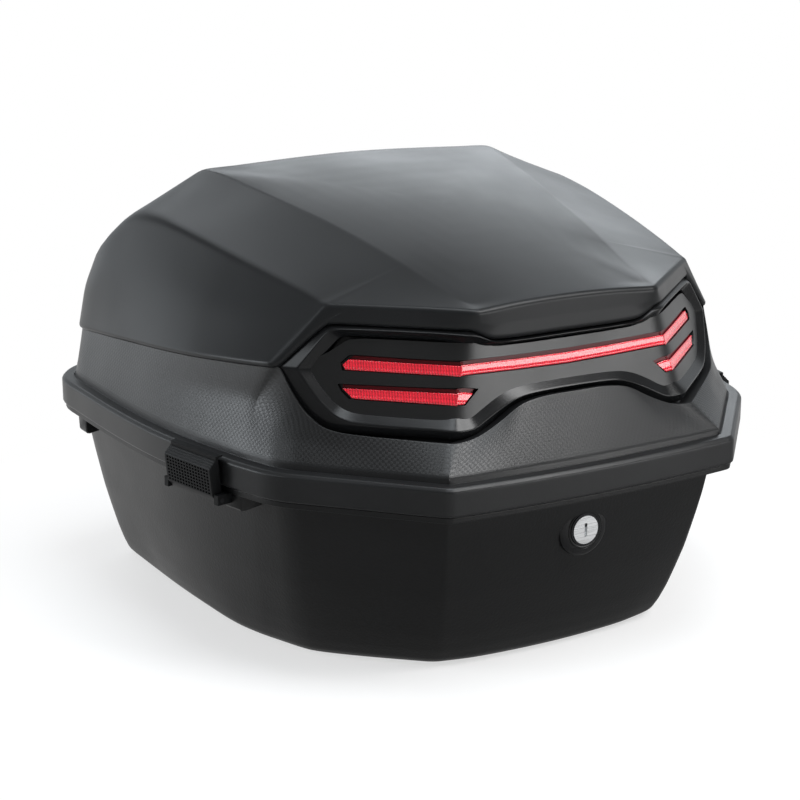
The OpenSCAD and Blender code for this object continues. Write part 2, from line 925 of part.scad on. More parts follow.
module lid_shell() {
    inner_r = dome_r - cover_t - gap - wall;
    color("#2a2b2d")
    difference() {
        union() {
            difference() {
                union() {
                    difference() {
                        dome(dome_r);
                        above_split();
                    }
                    dome(dome_r - cover_t - gap);
                    flare(0);
                }
                dome(inner_r);
                flare(wall);
            }
            intersection() {
                dome(inner_r + wall / 2);
                light_space(gap + wall, -bezel_d - wall, 0);
            }
            rim_ring(0, rim_in, roof_z, ledge_z);
            rim_ring(0, skirt_in, rim_z, roof_z + eps);
            rim_ring(inner_wall_in, rim_in, rim_z + 2, roof_z + eps);
            translate([striker_x - 10, striker_pad_y - 5, roof_z])
                cube([striker_w + 20, 28, ledge_z - roof_z - 2]);
        }
        light_space(gap, -bezel_d, light_out);
        for (s = [-1, 1])
            at_clip(s)
                translate([-clip_notch_in, -clip_l / 2 - 1.5, clip_notch_z])
                    cube([clip_notch_in + 20, clip_l + 3, 40]);
        at_hinge_leaf_screws()
            translate([0, 0, leaf_t])
                pilot(9);
        at_striker_screws()
            translate([0, 0, striker_t])
                pilot(7);
        at_cover_bosses()
            translate([0, 0, -1])
                cylinder(d = boss_d + 2 * gap, h = 80);
        at_light_screws()
            translate([0, 0, -bezel_d - wall])
                pilot(wall);
    }
}

module lid_cover() {
    color("#1f2022")
    difference() {
        union() {
            intersection() {
                difference() {
                    dome(dome_r);
                    dome(dome_r - cover_t);
                }
                above_split();
            }
            intersection() {
                at_cover_bosses()
                    cylinder(d = boss_d, h = 80);
                dome(dome_r - cover_t / 2);
            }
        }
        light_space(gap, -bezel_d - 20, light_out);
        at_cover_bosses()
            pilot(cover_screw_l + 0.5);
    }
}

module cover_screws() {
    washer_d = boss_d + 8;
    color("#8d9094")
    at_cover_bosses() {
        cylinder(d = screw_d, h = cover_screw_l);
        translate([0, 0, -1.5])
            cylinder(d = washer_d, h = 1.5);
        translate([0, 0, -1.5 - screw_head_t])
            cylinder(d = screw_head_d, h = screw_head_t + eps);
    }
}

module rim_seal() {
    color("#111213")
    rim_ring(skirt_in + seal_side, inner_wall_in - seal_side, lip_top + gap, roof_z);
}

module striker() {
    color("#8d9094")
    difference() {
        union() {
            translate([striker_x - 9, striker_pad_y, striker_plate_z])
                cube([striker_w + 18, striker_y + striker_t - striker_pad_y, striker_t]);
            translate([striker_x, striker_y, striker_foot_z - striker_foot_t])
                cube([striker_w, striker_t, striker_plate_z - striker_foot_z + striker_foot_t + 1]);
            translate([striker_x, cam_y - 1.5, striker_foot_z - striker_foot_t])
                cube([striker_w, striker_y - cam_y + 1.5 + striker_t, striker_foot_t]);
        }
        at_striker_screws()
            pilot(striker_t + 1);
    }
}

module striker_screws() {
    color("#8d9094")
    at_striker_screws()
        screw(striker_t + 6);
}

module light_bezel() {
    color("#17181a")
    difference() {
        wrap(-bezel_d, 0) {
            bezel_ring()
                middle_outline();
            bezel_ring()
                chamfer_outline();
        }
        at_light_screws()
            translate([0, 0, -bezel_d])
                pilot(6);
    }
}

module bezel_ring() {
    difference() {
        children();
        offset(delta = -bezel_w)
            children();
    }
}

// Panel inside the bezel, with a slot for each lens
module light_panel() {
    slot = 0.25;
    color("#1b1c1e")
    wrap(-2 * panel_t, -panel_t) {
        difference() {
            offset(delta = -bezel_w - slot)
                middle_outline();
            offset(delta = slot)
                upper_lens_middle();
        }
        difference() {
            offset(delta = -bezel_w - slot)
                chamfer_outline();
            offset(delta = slot)
                upper_lens_chamfer();
            offset(delta = slot)
                lower_lens_outline();
        }
    }
}

lens_flange = 2.5;
lens_face = -panel_t + 0.6;
lens_seat = -2 * panel_t;
lens_back = lens_seat - 2;

module upper_lens() {
    color("#b3161c") {
        wrap(lens_seat - eps, lens_face) {
            upper_lens_middle();
            upper_lens_chamfer();
        }
        wrap(lens_back, lens_seat) {
            offset(delta = lens_flange)
                upper_lens_middle();
            offset(delta = lens_flange)
                upper_lens_chamfer();
        }
    }
}

module lower_lens(side) {
    color("#b3161c")
    mirror([side < 0 ? 1 : 0, 0, 0]) {
        one_chamfer(lens_seat - eps, lens_face)
            lower_lens_outline();
        one_chamfer(lens_back, lens_seat)
            offset(delta = lens_flange)
                lower_lens_outline();
    }
}

// Plate behind the lenses, against the floor of the recess in the lid
module light_back() {
    color("#3a3b3d")
    wrap(-bezel_d, lens_back) {
        offset(delta = -bezel_w - gap)
            middle_outline();
        offset(delta = -bezel_w - gap)
            chamfer_outline();
    }
}

module light_screws() {
    color("#8d9094")
    at_light_screws()
        translate([0, 0, -bezel_d - wall])
            screw(wall + 5);
}

tub_shell();
floor_plate();
lock_rosette();
lock_housing();
lock_nut();
clip_base(-1);  // left_clip_base
clip_base(1);  // right_clip_base
clip_pin(-1);  // left_clip_pin
clip_pin(1);  // right_clip_pin
clip_base_screws();
hinge_base(-1);  // left_hinge_base
hinge_base(1);  // right_hinge_base
hinge_pin(-1);  // left_hinge_pin
hinge_pin(1);  // right_hinge_pin
hinge_base_screws();
lid_shell();
lid_cover();
cover_screws();
rim_seal();
striker();
striker_screws();
hinge_leaf(-1);  // left_hinge_leaf
hinge_leaf(1);  // right_hinge_leaf
hinge_leaf_screws();
light_bezel();
light_panel();
upper_lens();
lower_lens(-1);  // left_lens
lower_lens(1);  // right_lens
light_back();
light_screws();
key_cylinder();
lock_cam();
cam_screw();
clip(-1);  // left_clip
clip(1);  // right_clip
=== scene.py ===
"""Motorcycle top case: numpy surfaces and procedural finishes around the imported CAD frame."""

import math

import bmesh
import bpy
import numpy as np
from bpy.props import FloatProperty, FloatVectorProperty, PointerProperty
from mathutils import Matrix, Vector
from mathutils.geometry import delaunay_2d_cdt


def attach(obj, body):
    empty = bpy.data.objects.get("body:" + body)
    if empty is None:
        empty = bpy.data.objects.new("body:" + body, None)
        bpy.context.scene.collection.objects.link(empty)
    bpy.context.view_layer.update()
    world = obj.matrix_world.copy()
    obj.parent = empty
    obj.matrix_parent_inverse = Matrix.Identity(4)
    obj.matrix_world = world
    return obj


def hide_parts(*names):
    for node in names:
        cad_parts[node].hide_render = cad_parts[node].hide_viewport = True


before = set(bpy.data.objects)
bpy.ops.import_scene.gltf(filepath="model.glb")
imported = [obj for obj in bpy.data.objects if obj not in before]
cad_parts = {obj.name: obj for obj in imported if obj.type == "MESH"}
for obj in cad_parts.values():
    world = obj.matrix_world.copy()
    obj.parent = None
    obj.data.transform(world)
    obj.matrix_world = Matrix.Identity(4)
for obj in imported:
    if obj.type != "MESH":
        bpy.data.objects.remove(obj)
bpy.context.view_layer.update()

bl_info = {
    "name": "Top Case",
    "version": (1, 0, 0),
    "blender": (4, 5, 0),
    "location": "View3D > Sidebar > Top Case",
    "description": "Builds a lidded motorcycle top case with its reflectors, clips and lock",
    "category": "Add Mesh",
}

MM = 0.001
MIRROR = np.array([-1.0, 1.0, 1.0])


# Curves and grids


def blend(t, before, at, after):
    """Quadratic B-spline over three neighbouring control points, for t from 0 to 1."""
    return (1 - t) ** 2 / 2 * before + (0.5 + t - t * t) * at + t * t / 2 * after


def along(table, stations):
    """Quadratic B-spline over rows of (station, x, y, z) for the right half of a ring.

    Each leg of the control line is touched at its middle. The ends are mirrored in x, so the ring is smooth
    where it crosses the middle of the case.
    """
    points = table[:, 1:]
    padded = np.concatenate([points[1:2] * MIRROR, points, points[-2:-1] * MIRROR])
    place = np.interp(stations, table[:, 0], np.arange(len(table)))
    index = np.clip(np.floor(place + 0.5).astype(int), 0, len(table) - 1)
    t = (place - index + 0.5)[:, None]
    return blend(t, padded[index], padded[index + 1], padded[index + 2])


def whole(half):
    """A half ring and its mirror image in x, as one closed ring."""
    return np.concatenate([half, half[-2:0:-1] * MIRROR])


def soften(keys, per):
    """Straight strips between key rings, given as (ring, rounding) pairs, with each ring rounded off.

    A control ring stands on each side of a key ring, twice its rounding away but at most 0.48 of the strip,
    and a quadratic B-spline of `per` steps for each control ring runs across them.
    """
    net = []
    for i, (ring_points, rounding) in enumerate(keys):
        reach = 2 * np.broadcast_to(np.asarray(rounding, float), len(ring_points))[:, None]
        for other in (i - 1, i + 1):
            if other > i:
                net.append(ring_points)
            if 0 <= other < len(keys):
                way = keys[other][0] - ring_points
                length = np.linalg.norm(way, axis=1, keepdims=True)
                net.append(ring_points + way * np.minimum(reach / np.maximum(length, 1e-6), 0.48))
    net = np.array(net)
    count = len(net)
    span = np.append(np.repeat(np.arange(count), per), count - 1)
    t = np.append(np.tile(np.arange(per) / per, count), 1.0)[:, None, None]
    return blend(t, net[np.maximum(span - 1, 0)], net[span], net[np.minimum(span + 1, count - 1)])


def inset(table, distance):
    """A plan control line of (station, x, y) moved in by `distance`, with its corners mitred."""
    mirror = MIRROR[:2]
    points = np.concatenate([table[1:2, 1:3] * mirror, table[:, 1:3], table[-2:-1, 1:3] * mirror])
    legs = np.diff(points, axis=0)
    normal = np.stack([legs[:, 1], -legs[:, 0]], axis=1) / np.linalg.norm(legs, axis=1, keepdims=True)
    bisector = normal[:-1] + normal[1:]
    scale = 2 / np.sum(bisector * bisector, axis=1)
    shift = bisector * (scale * np.broadcast_to(distance, len(table)))[:, None]
    return np.column_stack([table[:, 0], table[:, 1:3] - shift])


def level(plan, z):
    """A plan control line (station, x, y) at height z."""
    return np.column_stack([plan, np.broadcast_to(z, len(plan))])


def grid_faces(rows, columns, wrap_rows=False, wrap_columns=False):
    """Quads of a grid whose vertex (r, c) has the index r * columns + c."""
    r = np.arange(rows if wrap_rows else rows - 1)[:, None]
    c = np.arange(columns if wrap_columns else columns - 1)[None, :]
    r2, c2 = (r + 1) % rows, (c + 1) % columns
    corners = [r * columns + c, r * columns + c2, r2 * columns + c2, r2 * columns + c]
    return np.stack([np.broadcast_to(k, (r.size, c.size)) for k in corners], axis=-1).reshape(-1, 4)


def slab(front, back):
    """Points and quads of the closed plate between two grids of the same shape."""
    rows, columns = front.shape[:2]
    size = rows * columns
    faces = grid_faces(rows, columns)
    index = np.arange(size).reshape(rows, columns)
    border = np.concatenate([index[0, :-1], index[:-1, -1], index[-1, :0:-1], index[:0:-1, 0]])
    after = np.roll(border, -1)
    sides = np.stack([border, border + size, after + size, after], axis=1)
    points = np.concatenate([front.reshape(-1, 3), back.reshape(-1, 3)])
    return points, np.concatenate([faces, faces[:, ::-1] + size, sides])


def joined(*parts):
    """Several (points, faces) pairs as one; faces are an array of quads or a list of polygons."""
    points, faces, start = [], [], 0
    for p, f in parts:
        points.append(p.reshape(-1, 3))
        faces += [[i + start for i in face] for face in f] if isinstance(f, list) else (f + start).tolist()
        start += len(points[-1])
    return np.concatenate(points), faces


def piece(name, points, faces, body, finish, replaces=(), sharp=30.0, closed=True, paint=None, uv=None):
    """A mesh piece from points in mm: doubles merged, faces turned outwards, smooth but for sharp edges.

    In the UV map, the quads across the front middle, where the way round the case changes sign, run on past
    its end.
    """
    mesh = bpy.data.meshes.new(name)
    quads = faces if isinstance(faces, list) else faces.tolist()
    mesh.from_pydata((points.reshape(-1, 3) * MM).tolist(), [], quads)
    if paint is not None:
        mesh.polygons.foreach_set("material_index", paint.astype(np.int32))
    if uv is not None:
        corner = np.zeros(len(mesh.loops), np.int32)
        mesh.loops.foreach_get("vertex_index", corner)
        layer = uv.reshape(-1, 2)[corner].reshape(-1, 4, 2)
        spread = np.ptp(layer[:, :, 0], axis=1, keepdims=True)
        layer[:, :, 0] += np.where((spread > 0.5) & (layer[:, :, 0] < 0), 2 * np.max(layer[:, :, 0]), 0)
        mesh.uv_layers.new(name="surface").data.foreach_set("uv", layer.ravel())
    tidy = bmesh.new()
    tidy.from_mesh(mesh)
    bmesh.ops.remove_doubles(tidy, verts=tidy.verts, dist=2e-6)
    bmesh.ops.dissolve_degenerate(tidy, edges=tidy.edges, dist=1e-7)
    if closed:
        bmesh.ops.recalc_face_normals(tidy, faces=tidy.faces)
    tidy.to_mesh(mesh)
    tidy.free()
    mesh.shade_smooth()
    mesh.set_sharp_from_angle(angle=math.radians(sharp))
    made = bpy.data.objects.new(name, mesh)
    bpy.context.scene.collection.objects.link(made)
    for material in finish if isinstance(finish, (list, tuple)) else [finish]:
        mesh.materials.append(material)
    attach(made, body)
    if replaces:
        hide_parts(*replaces)
    return made


# The case's own lines, in mm

# Stations run from the rear middle (0) past the rear corner (7), the reflector's tip (14) and the front
# corner (22) to the front middle (26).
HALF = np.unique(np.round(np.concatenate([
    np.linspace(0, 26, 26 * 6 + 1), np.linspace(6.2, 7.9, 24), np.linspace(11.8, 14.6, 48),
]), 4))

RIM = np.array([
    (0, 0, -211), (1.5, 35, -210.2), (4, 73, -208.2), (6.5, 103, -205.3), (7, 110.5, -204.2),
    (7.5, 116.2, -198.5), (10, 149, -163), (12, 171.4, -138.7), (12.7, 188.8, -120), (13.6, 197.2, -95),
    (15.2, 202, -77), (16.8, 212.4, -27), (17.8, 217.6, 13), (19, 220, 65), (20, 220, 110),
    (20.7, 220, 136.5), (21.3, 220, 165.5), (22, 205.5, 190.5), (22.7, 180.5, 205), (23.3, 151.5, 205),
    (24.7, 75, 205), (26, 0, 205),
])

# The same plan with a crisp fold at the rear corner, for the foot of the lid's lower wall
RIDGED = RIM.copy()
RIDGED[3:6] = (6.85, 107.6, -204.7), (7, 110.5, -204.2), (7.15, 112.5, -202)

TUB_FOOT = np.array([
    (0, 0, -161), (1.5, 30, -160), (4, 60, -157.5), (6.3, 78, -153.6), (7, 88, -151), (7.7, 96.5, -143.5),
    (10, 124, -118), (12, 146, -95.5), (12.7, 153, -83), (13.6, 159, -66), (15.2, 165.5, -48),
    (16.8, 172, -20), (17.8, 174.5, 13), (19, 177, 65), (20, 177, 110), (20.7, 177, 133),
    (21.3, 177, 151), (22, 173, 158), (22.7, 166, 162), (23.3, 148, 162), (24.7, 75, 162), (26, 0, 162),
])

FLOOR_TOP = 4.0
FLANGE_LOW, FLANGE_TOP, LIP_TOP = 118, 121.7, 128
BAND_LOW, CHANNEL_TOP = 122.1, 131
LOCK_CENTRE = (0, -187.02, 92)

# Reflector unit: its middle face stands at FACE_Y at the height FACE_TOP, and its fold moves out further down
FACE_Y, FACE_TOP = -165.8, 238
FOLD_TOP, FOLD_SLANT = 72.5, 0.25
LEAN, CHAMFER_LEAN = 0.153, 0.278
FACE_TURN = math.radians(39.8)


def ring(table):
    """The closed ring round the case over a control table."""
    return whole(along(table, HALF))


def by_station(stations, values):
    """A value for each point of a closed ring round the case, interpolated over the stations."""
    half = np.interp(HALF, stations, values)
    return np.concatenate([half, half[-2:0:-1]])


def fold(z):
    """Distance from the middle to the fold between the reflector's middle face and a chamfer, at height z."""
    return FOLD_TOP + FOLD_SLANT * (FACE_TOP - np.asarray(z, float))


def light_point(q, z, w, soft=1.6):
    """Point of the reflector unit: q along the face from the middle, z up, w out of the face.

    The face runs straight along x to the fold and then turns by FACE_TURN; the turn is eased by a soft plus
    of width `soft`. The middle face leans forwards by LEAN for each mm up, the chamfers by CHAMFER_LEAN.
    """
    q, z, w = np.broadcast_arrays(*[np.asarray(v, float) for v in (q, z, w)])
    side, q = np.where(q < 0, -1.0, 1.0), np.abs(q)
    a = (q - fold(z)) / soft
    past = soft * np.logaddexp(0, a)
    turn = FACE_TURN / (1 + np.exp(-a))
    lean = LEAN + (CHAMFER_LEAN - LEAN) * turn / FACE_TURN
    flat = w / np.hypot(1, lean)
    x = q - past * (1 - math.cos(FACE_TURN)) + flat * np.sin(turn)
    y = FACE_Y - (FACE_TOP - z) * LEAN + past * math.sin(FACE_TURN) - flat * np.cos(turn)
    return np.stack([x * side, y, z + flat * lean], axis=-1)


def along_face(rows):
    """Distance along the reflector's face of rows of (station, kind, distance, z).

    Kind 0 measures the distance from the middle, and kind 1 from the fold.
    """
    return rows[:, 2] + rows[:, 1] * fold(rows[:, 3])


def face_line(rows, w):
    """Control line through rows on the reflector's face, w out of it."""
    return np.column_stack([rows[:, 0], light_point(along_face(rows), rows[:, 3], w)])


def light_ring(rows, w):
    """Ring through rows on the reflector's face, w out of it, and then along the parting line."""
    return ring(np.concatenate([face_line(rows, w), PARTING]))


# Line where the lid's lower wall ends: under the reflector unit, then along the parting line
UNDER_LIGHT = np.array([
    (0, 0, 0, 181.2), (1.2, 0, 19.7, 181.2), (2.2, 0, 29.8, 180.4), (3, 0, 39, 179),
    (3.6, 0, 46.9, 175.9), (4.2, 0, 54.7, 171.3), (5, 0, 66.4, 165.8), (5.5, 0, 73.3, 163.2),
    (6, 0, 80.1, 161.3), (6.85, 1, -3, 160.4), (7, 1, 0.3, 160.2), (7.15, 1, 2.6, 160.2),
    (8, 1, 14.6, 160.5), (9, 1, 33.5, 161.3), (10, 1, 52.5, 162), (11, 1, 68.6, 163.1),
    (11.6, 1, 77.7, 164.5), (12.1, 1, 85, 166.9), (12.6, 1, 93.5, 172.9), (13, 1, 99.3, 178.1),
    (13.5, 1, 107.9, 188.7), (13.9, 1, 114.4, 198.7), (14, 1, 116.8, 201.8),
])
PARTING = np.array([
    (14.15, 173.6, -90, 201.4), (15, 177.4, -77, 200), (16, 182.8, -58, 198.2), (17, 191.6, -20, 194.5),
    (18, 195.6, 20, 190.5), (19, 197.8, 65, 186.1), (20, 199, 110, 181.6), (20.7, 199.4, 136.5, 179),
    (21.3, 199.6, 163, 176.4), (22, 195.8, 180.8, 174.6), (22.7, 180, 185.4, 174.2),
    (23.3, 151.5, 185.2, 174.2), (24.7, 75, 185.2, 174.2), (26, 0, 185.2, 174.2),
])

# Lower edge of the cover over the reflector unit
OVER_LIGHT = np.array([
    (0, 0, 0, 221.9), (2, 0, 38, 221.9), (4, 0, 54.5, 222.3), (5, 0, 60, 223.9), (6, 0, 65.5, 227),
    (7, 1, -3, 229.7), (8, 1, 7.1, 230), (9, 1, 24.3, 230.3), (10, 1, 52.3, 230.6), (11, 1, 78.3, 231.1),
    (12, 1, 88.2, 231.1), (12.5, 1, 93.4, 229.9), (12.9, 1, 96.3, 226.6), (13.4, 1, 108.1, 214.6),
    (13.85, 1, 116.3, 206), (14, 1, 119.3, 203),
])

# Crease that runs along the sides, round the front and along the brow's edge
BROW = np.array([
    (0, 0, -165.4, 240.7), (2, 30, -165.5, 240.2), (4, 50, -165.6, 239), (6, 63.5, -165.8, 238),
    (7, 69, -166, 237.9), (8, 74, -161.8, 238.3), (9, 95, -144.4, 238.8), (11, 120, -123.5, 238.9),
    (13, 134, -111.8, 238.9), (13.85, 138.4, -108, 238.8), (14, 141.2, -105.8, 239),
    (14.15, 141.8, -101.5, 239.6), (15, 143.8, -90, 242.3), (16, 147.6, -70, 246.2),
    (17, 155.6, -30, 252.7), (18, 162.1, 10, 259), (19, 167.8, 50, 264.6), (20, 172.6, 94, 269.2),
    (20.7, 176.5, 122, 263.5), (21.3, 182.5, 146, 248), (22, 184, 169, 231), (22.7, 168, 179, 227),
    (23.3, 148, 180, 226), (24.7, 75, 180.5, 226), (26, 0, 180.5, 226),
])

# Crease round the top panel
CROWN = np.array([
    (0, 0, -157.5, 242.8), (2, 29, -157.6, 242.3), (4, 47, -157.8, 241.1), (6, 60.5, -158.4, 239.7),
    (7, 67, -158, 239.3), (8, 70.2, -151, 240.8), (9, 72, -138, 243.9), (11, 75.2, -120, 248.5),
    (13, 77.9, -105, 252.5), (14, 79.4, -96, 255.0), (15, 81.2, -86, 257.5), (16, 85.7, -60, 263.6),
    (17, 92.9, -20, 271.8), (18, 101.5, 20, 278.8), (19, 108.9, 60, 284.7), (20, 116.6, 98, 290.4),
    (20.7, 122, 115, 291.4), (21.3, 120, 121, 291.4), (22, 109, 120.5, 292), (22.7, 98, 118, 292.6),
    (23.3, 84, 118.4, 293.2), (24.7, 44, 119, 294.8), (26, 0, 119.2, 295.8),
])


def panel_height(x, y):
    """Height of the top panel: a cubic over y through the crease, plus a crown that falls with x squared.

    The crown rises from 3.2 mm at the rear to 4.9 mm at the front.
    """
    side = CROWN[4:18]
    half = np.polyval(np.polyfit(side[:, 2], side[:, 1], 3), y)
    low = np.polyval(np.polyfit(side[:, 2], side[:, 3], 3), y)
    crown = 3.2 + 1.7 * (y + 166) / 281
    return low + crown * (1 - (x / half) ** 2)


def toward(points, target, distance):
    """Points moved by `distance` straight towards a target point."""
    way = target - points
    return points + way * (distance / np.linalg.norm(way, axis=-1, keepdims=True))


# Finishes


def new_group(name, inputs, outputs):
    """An empty shader node group with (type, name, default) inputs and (type, name) outputs."""
    group = bpy.data.node_groups.new(name, "ShaderNodeTree")
    for kind, label, default in inputs:
        group.interface.new_socket(name=label, in_out="INPUT", socket_type=kind).default_value = default
    for kind, label in outputs:
        group.interface.new_socket(name=label, in_out="OUTPUT", socket_type=kind)
    return group, group.nodes.new("NodeGroupInput"), group.nodes.new("NodeGroupOutput")


def maths(tree, operation, a, b=None):
    """A Math node whose inputs are sockets or numbers; gives its output."""
    node = tree.nodes.new("ShaderNodeMath")
    node.operation = operation
    for socket, value in zip(node.inputs, (a, b)):
        if isinstance(value, bpy.types.NodeSocket):
            tree.links.new(value, socket)
        elif value is not None:
            socket.default_value = value
    return node.outputs[0]


def ramp(tree, value, low, high, to_low, to_high):
    """A Map Range node on a value socket; gives its output."""
    node = tree.nodes.new("ShaderNodeMapRange")
    tree.links.new(value, node.inputs[0])
    for socket, number in zip(node.inputs[1:5], (low, high, to_low, to_high)):
        socket.default_value = number
    return node.outputs[0]


def grain_group():
    """Moulded grain: fine noise and cells give the height, and a broad noise changes the shade and gloss."""
    group, given, out = new_group(
        "Moulded Grain",
        [("NodeSocketVector", "Position", (0, 0, 0)), ("NodeSocketFloat", "Size", 900.0)],
        [("NodeSocketFloat", "Height"), ("NodeSocketFloat", "Shade"), ("NodeSocketFloat", "Gloss")],
    )
    link = group.links.new
    fine = group.nodes.new("ShaderNodeTexNoise")
    fine.inputs["Detail"].default_value = 2
    cells = group.nodes.new("ShaderNodeTexVoronoi")
    broad = group.nodes.new("ShaderNodeTexNoise")
    broad.inputs["Scale"].default_value = 14
    broad.inputs["Detail"].default_value = 4
    for node in (fine, cells, broad):
        link(given.outputs["Position"], node.inputs["Vector"])
    link(given.outputs["Size"], fine.inputs["Scale"])
    link(maths(group, "MULTIPLY", given.outputs["Size"], 0.6), cells.inputs["Scale"])
    both = maths(group, "ADD", fine.outputs[0], maths(group, "MULTIPLY", cells.outputs["Distance"], 0.6))
    link(both, out.inputs["Height"])
    link(ramp(group, broad.outputs[0], 0.3, 0.7, 0.88, 1.12), out.inputs["Shade"])
    link(ramp(group, broad.outputs[0], 0.3, 0.7, -0.04, 0.04), out.inputs["Gloss"])


def weave_group():
    """Moulded weave: two crossed sets of ridges that pass over and under each other."""
    group, given, out = new_group(
        "Moulded Weave",
        [("NodeSocketVector", "Surface", (0, 0, 0)), ("NodeSocketFloat", "Pitch", 0.0032)],
        [("NodeSocketFloat", "Height"), ("NodeSocketFloat", "Thread")],
    )
    link = group.links.new
    split = group.nodes.new("ShaderNodeSeparateXYZ")
    link(given.outputs["Surface"], split.inputs[0])
    a = maths(group, "DIVIDE", split.outputs[0], given.outputs["Pitch"])
    b = maths(group, "DIVIDE", split.outputs[1], given.outputs["Pitch"])
    first = maths(group, "ABSOLUTE", maths(group, "SINE", maths(group, "MULTIPLY", a, math.pi)))
    second = maths(group, "ABSOLUTE", maths(group, "SINE", maths(group, "MULTIPLY", b, math.pi)))
    checks = maths(group, "ADD", maths(group, "FLOOR", a), maths(group, "FLOOR", b))
    over = maths(group, "GREATER_THAN", maths(group, "MODULO", maths(group, "ABSOLUTE", checks), 2.0), 0.5)
    mix = group.nodes.new("ShaderNodeMix")
    link(over, mix.inputs[0])
    link(first, mix.inputs[2])
    link(second, mix.inputs[3])
    link(mix.outputs[0], out.inputs["Height"])
    link(over, out.inputs["Thread"])


def new_finish(name, colour, roughness, specular=0.5, metallic=0.0, coat=0.0, coat_roughness=0.1):
    """A material with a Principled BSDF whose even values are set on its own sockets."""
    material = bpy.data.materials.new(name)
    material.use_nodes = True
    tree = material.node_tree
    shader = tree.nodes["Principled BSDF"]
    shader.inputs["Base Color"].default_value = (*colour, 1)
    shader.inputs["Roughness"].default_value = roughness
    shader.inputs["Specular IOR Level"].default_value = specular
    shader.inputs["Metallic"].default_value = metallic
    shader.inputs["Coat Weight"].default_value = coat
    shader.inputs["Coat Roughness"].default_value = coat_roughness
    return material, tree, shader


def scaled_colour(tree, colour, value):
    """A colour times a value socket."""
    node = tree.nodes.new("ShaderNodeVectorMath")
    node.operation = "SCALE"
    node.inputs[0].default_value = colour
    tree.links.new(value, node.inputs["Scale"])
    return node.outputs[0]


def bump(tree, shader, height, strength, distance):
    """A Bump node from a height socket to the shader's normal."""
    node = tree.nodes.new("ShaderNodeBump")
    node.inputs["Strength"].default_value = strength
    node.inputs["Distance"].default_value = distance
    tree.links.new(height, node.inputs["Height"])
    tree.links.new(node.outputs[0], shader.inputs["Normal"])


def mix_colours(tree, share, first, second):
    """A colour between two, by a value socket; gives its output."""
    node = tree.nodes.new("ShaderNodeMix")
    node.data_type = "RGBA"
    node.inputs[6].default_value = (*first, 1)
    node.inputs[7].default_value = (*second, 1)
    tree.links.new(share, node.inputs[0])
    return node.outputs[2]


def mix_shaders(tree, share, first, second, out):
    """Two shaders mixed by a value socket, linked to an output node."""
    node = tree.nodes.new("ShaderNodeMixShader")
    for socket, value in zip(node.inputs, (share, first, second)):
        tree.links.new(value, socket)
    tree.links.new(node.outputs[0], out.inputs[0])


def place_grain(tree, size):
    """The moulded grain on the piece's own coordinates; gives its node."""
    place = tree.nodes.new("ShaderNodeTexCoord")
    grain = tree.nodes.new("ShaderNodeGroup")
    grain.node_tree = bpy.data.node_groups["Moulded Grain"]
    grain.inputs["Size"].default_value = size
    tree.links.new(place.outputs["Object"], grain.inputs["Position"])
    return grain


def surface_map(tree):
    """The piece's own UV map, in metres; gives its output."""
    place = tree.nodes.new("ShaderNodeUVMap")
    place.uv_map = "surface"
    return place.outputs[0]


def plastic(name, colour, roughness, size, strength, specular):
    """Moulded plastic: even shade with a grain of the given size, slightly uneven in shade and gloss."""
    material, tree, shader = new_finish(name, colour, roughness, specular)
    grain = place_grain(tree, size)
    tree.links.new(scaled_colour(tree, colour, grain.outputs["Shade"]), shader.inputs["Base Color"])
    tree.links.new(maths(tree, "ADD", grain.outputs["Gloss"], roughness), shader.inputs["Roughness"])
    bump(tree, shader, grain.outputs["Height"], strength, 0.0002)
    return material


def woven_plastic(name, colour, roughness, pitch):
    """Plastic with the moulded weave over the piece's own UV map, and a fine grain on it."""
    material, tree, shader = new_finish(name, colour, roughness, 0.38)
    weave = tree.nodes.new("ShaderNodeGroup")
    weave.node_tree = bpy.data.node_groups["Moulded Weave"]
    weave.inputs["Pitch"].default_value = pitch
    tree.links.new(surface_map(tree), weave.inputs["Surface"])
    grain = place_grain(tree, 1200)
    thread = weave.outputs["Thread"]
    shade = maths(tree, "MULTIPLY", ramp(tree, thread, 0, 1, 0.8, 1.2), grain.outputs["Shade"])
    tree.links.new(scaled_colour(tree, colour, shade), shader.inputs["Base Color"])
    gloss = ramp(tree, thread, 0, 1, roughness - 0.05, roughness + 0.06)
    tree.links.new(maths(tree, "ADD", gloss, grain.outputs["Gloss"]), shader.inputs["Roughness"])
    fine = maths(tree, "MULTIPLY", grain.outputs["Height"], 0.12)
    bump(tree, shader, maths(tree, "ADD", weave.outputs["Height"], fine), 0.11, 0.0003)
    return material


def lens_red(name, colour, deep, roughness):
    """Clear red reflector: rows of small prisms change the depth of colour, under a smooth clear coat."""
    material, tree, shader = new_finish(name, colour, roughness, coat=1.0, coat_roughness=0.08)
    rib_pitch, step_pitch = 0.0018, 0.0024
    place = surface_map(tree)
    split = tree.nodes.new("ShaderNodeSeparateXYZ")
    tree.links.new(place, split.inputs[0])
    across = maths(tree, "SINE", maths(tree, "MULTIPLY", split.outputs[0], 2 * math.pi / rib_pitch))
    up = maths(tree, "SINE", maths(tree, "MULTIPLY", split.outputs[1], 2 * math.pi / step_pitch))
    prism = maths(tree, "ADD", across, maths(tree, "MULTIPLY", up, 0.35))
    noise = tree.nodes.new("ShaderNodeTexNoise")
    noise.inputs["Scale"].default_value = 90
    tree.links.new(place, noise.inputs["Vector"])
    uneven = maths(tree, "MULTIPLY", noise.outputs[0], 0.4)
    mask = maths(tree, "ADD", ramp(tree, prism, -1, 1, 0.05, 0.75), uneven)
    tree.links.new(mix_colours(tree, mask, deep, colour), shader.inputs["Base Color"])
    bump(tree, shader, prism, 0.35, 0.0003)
    return material


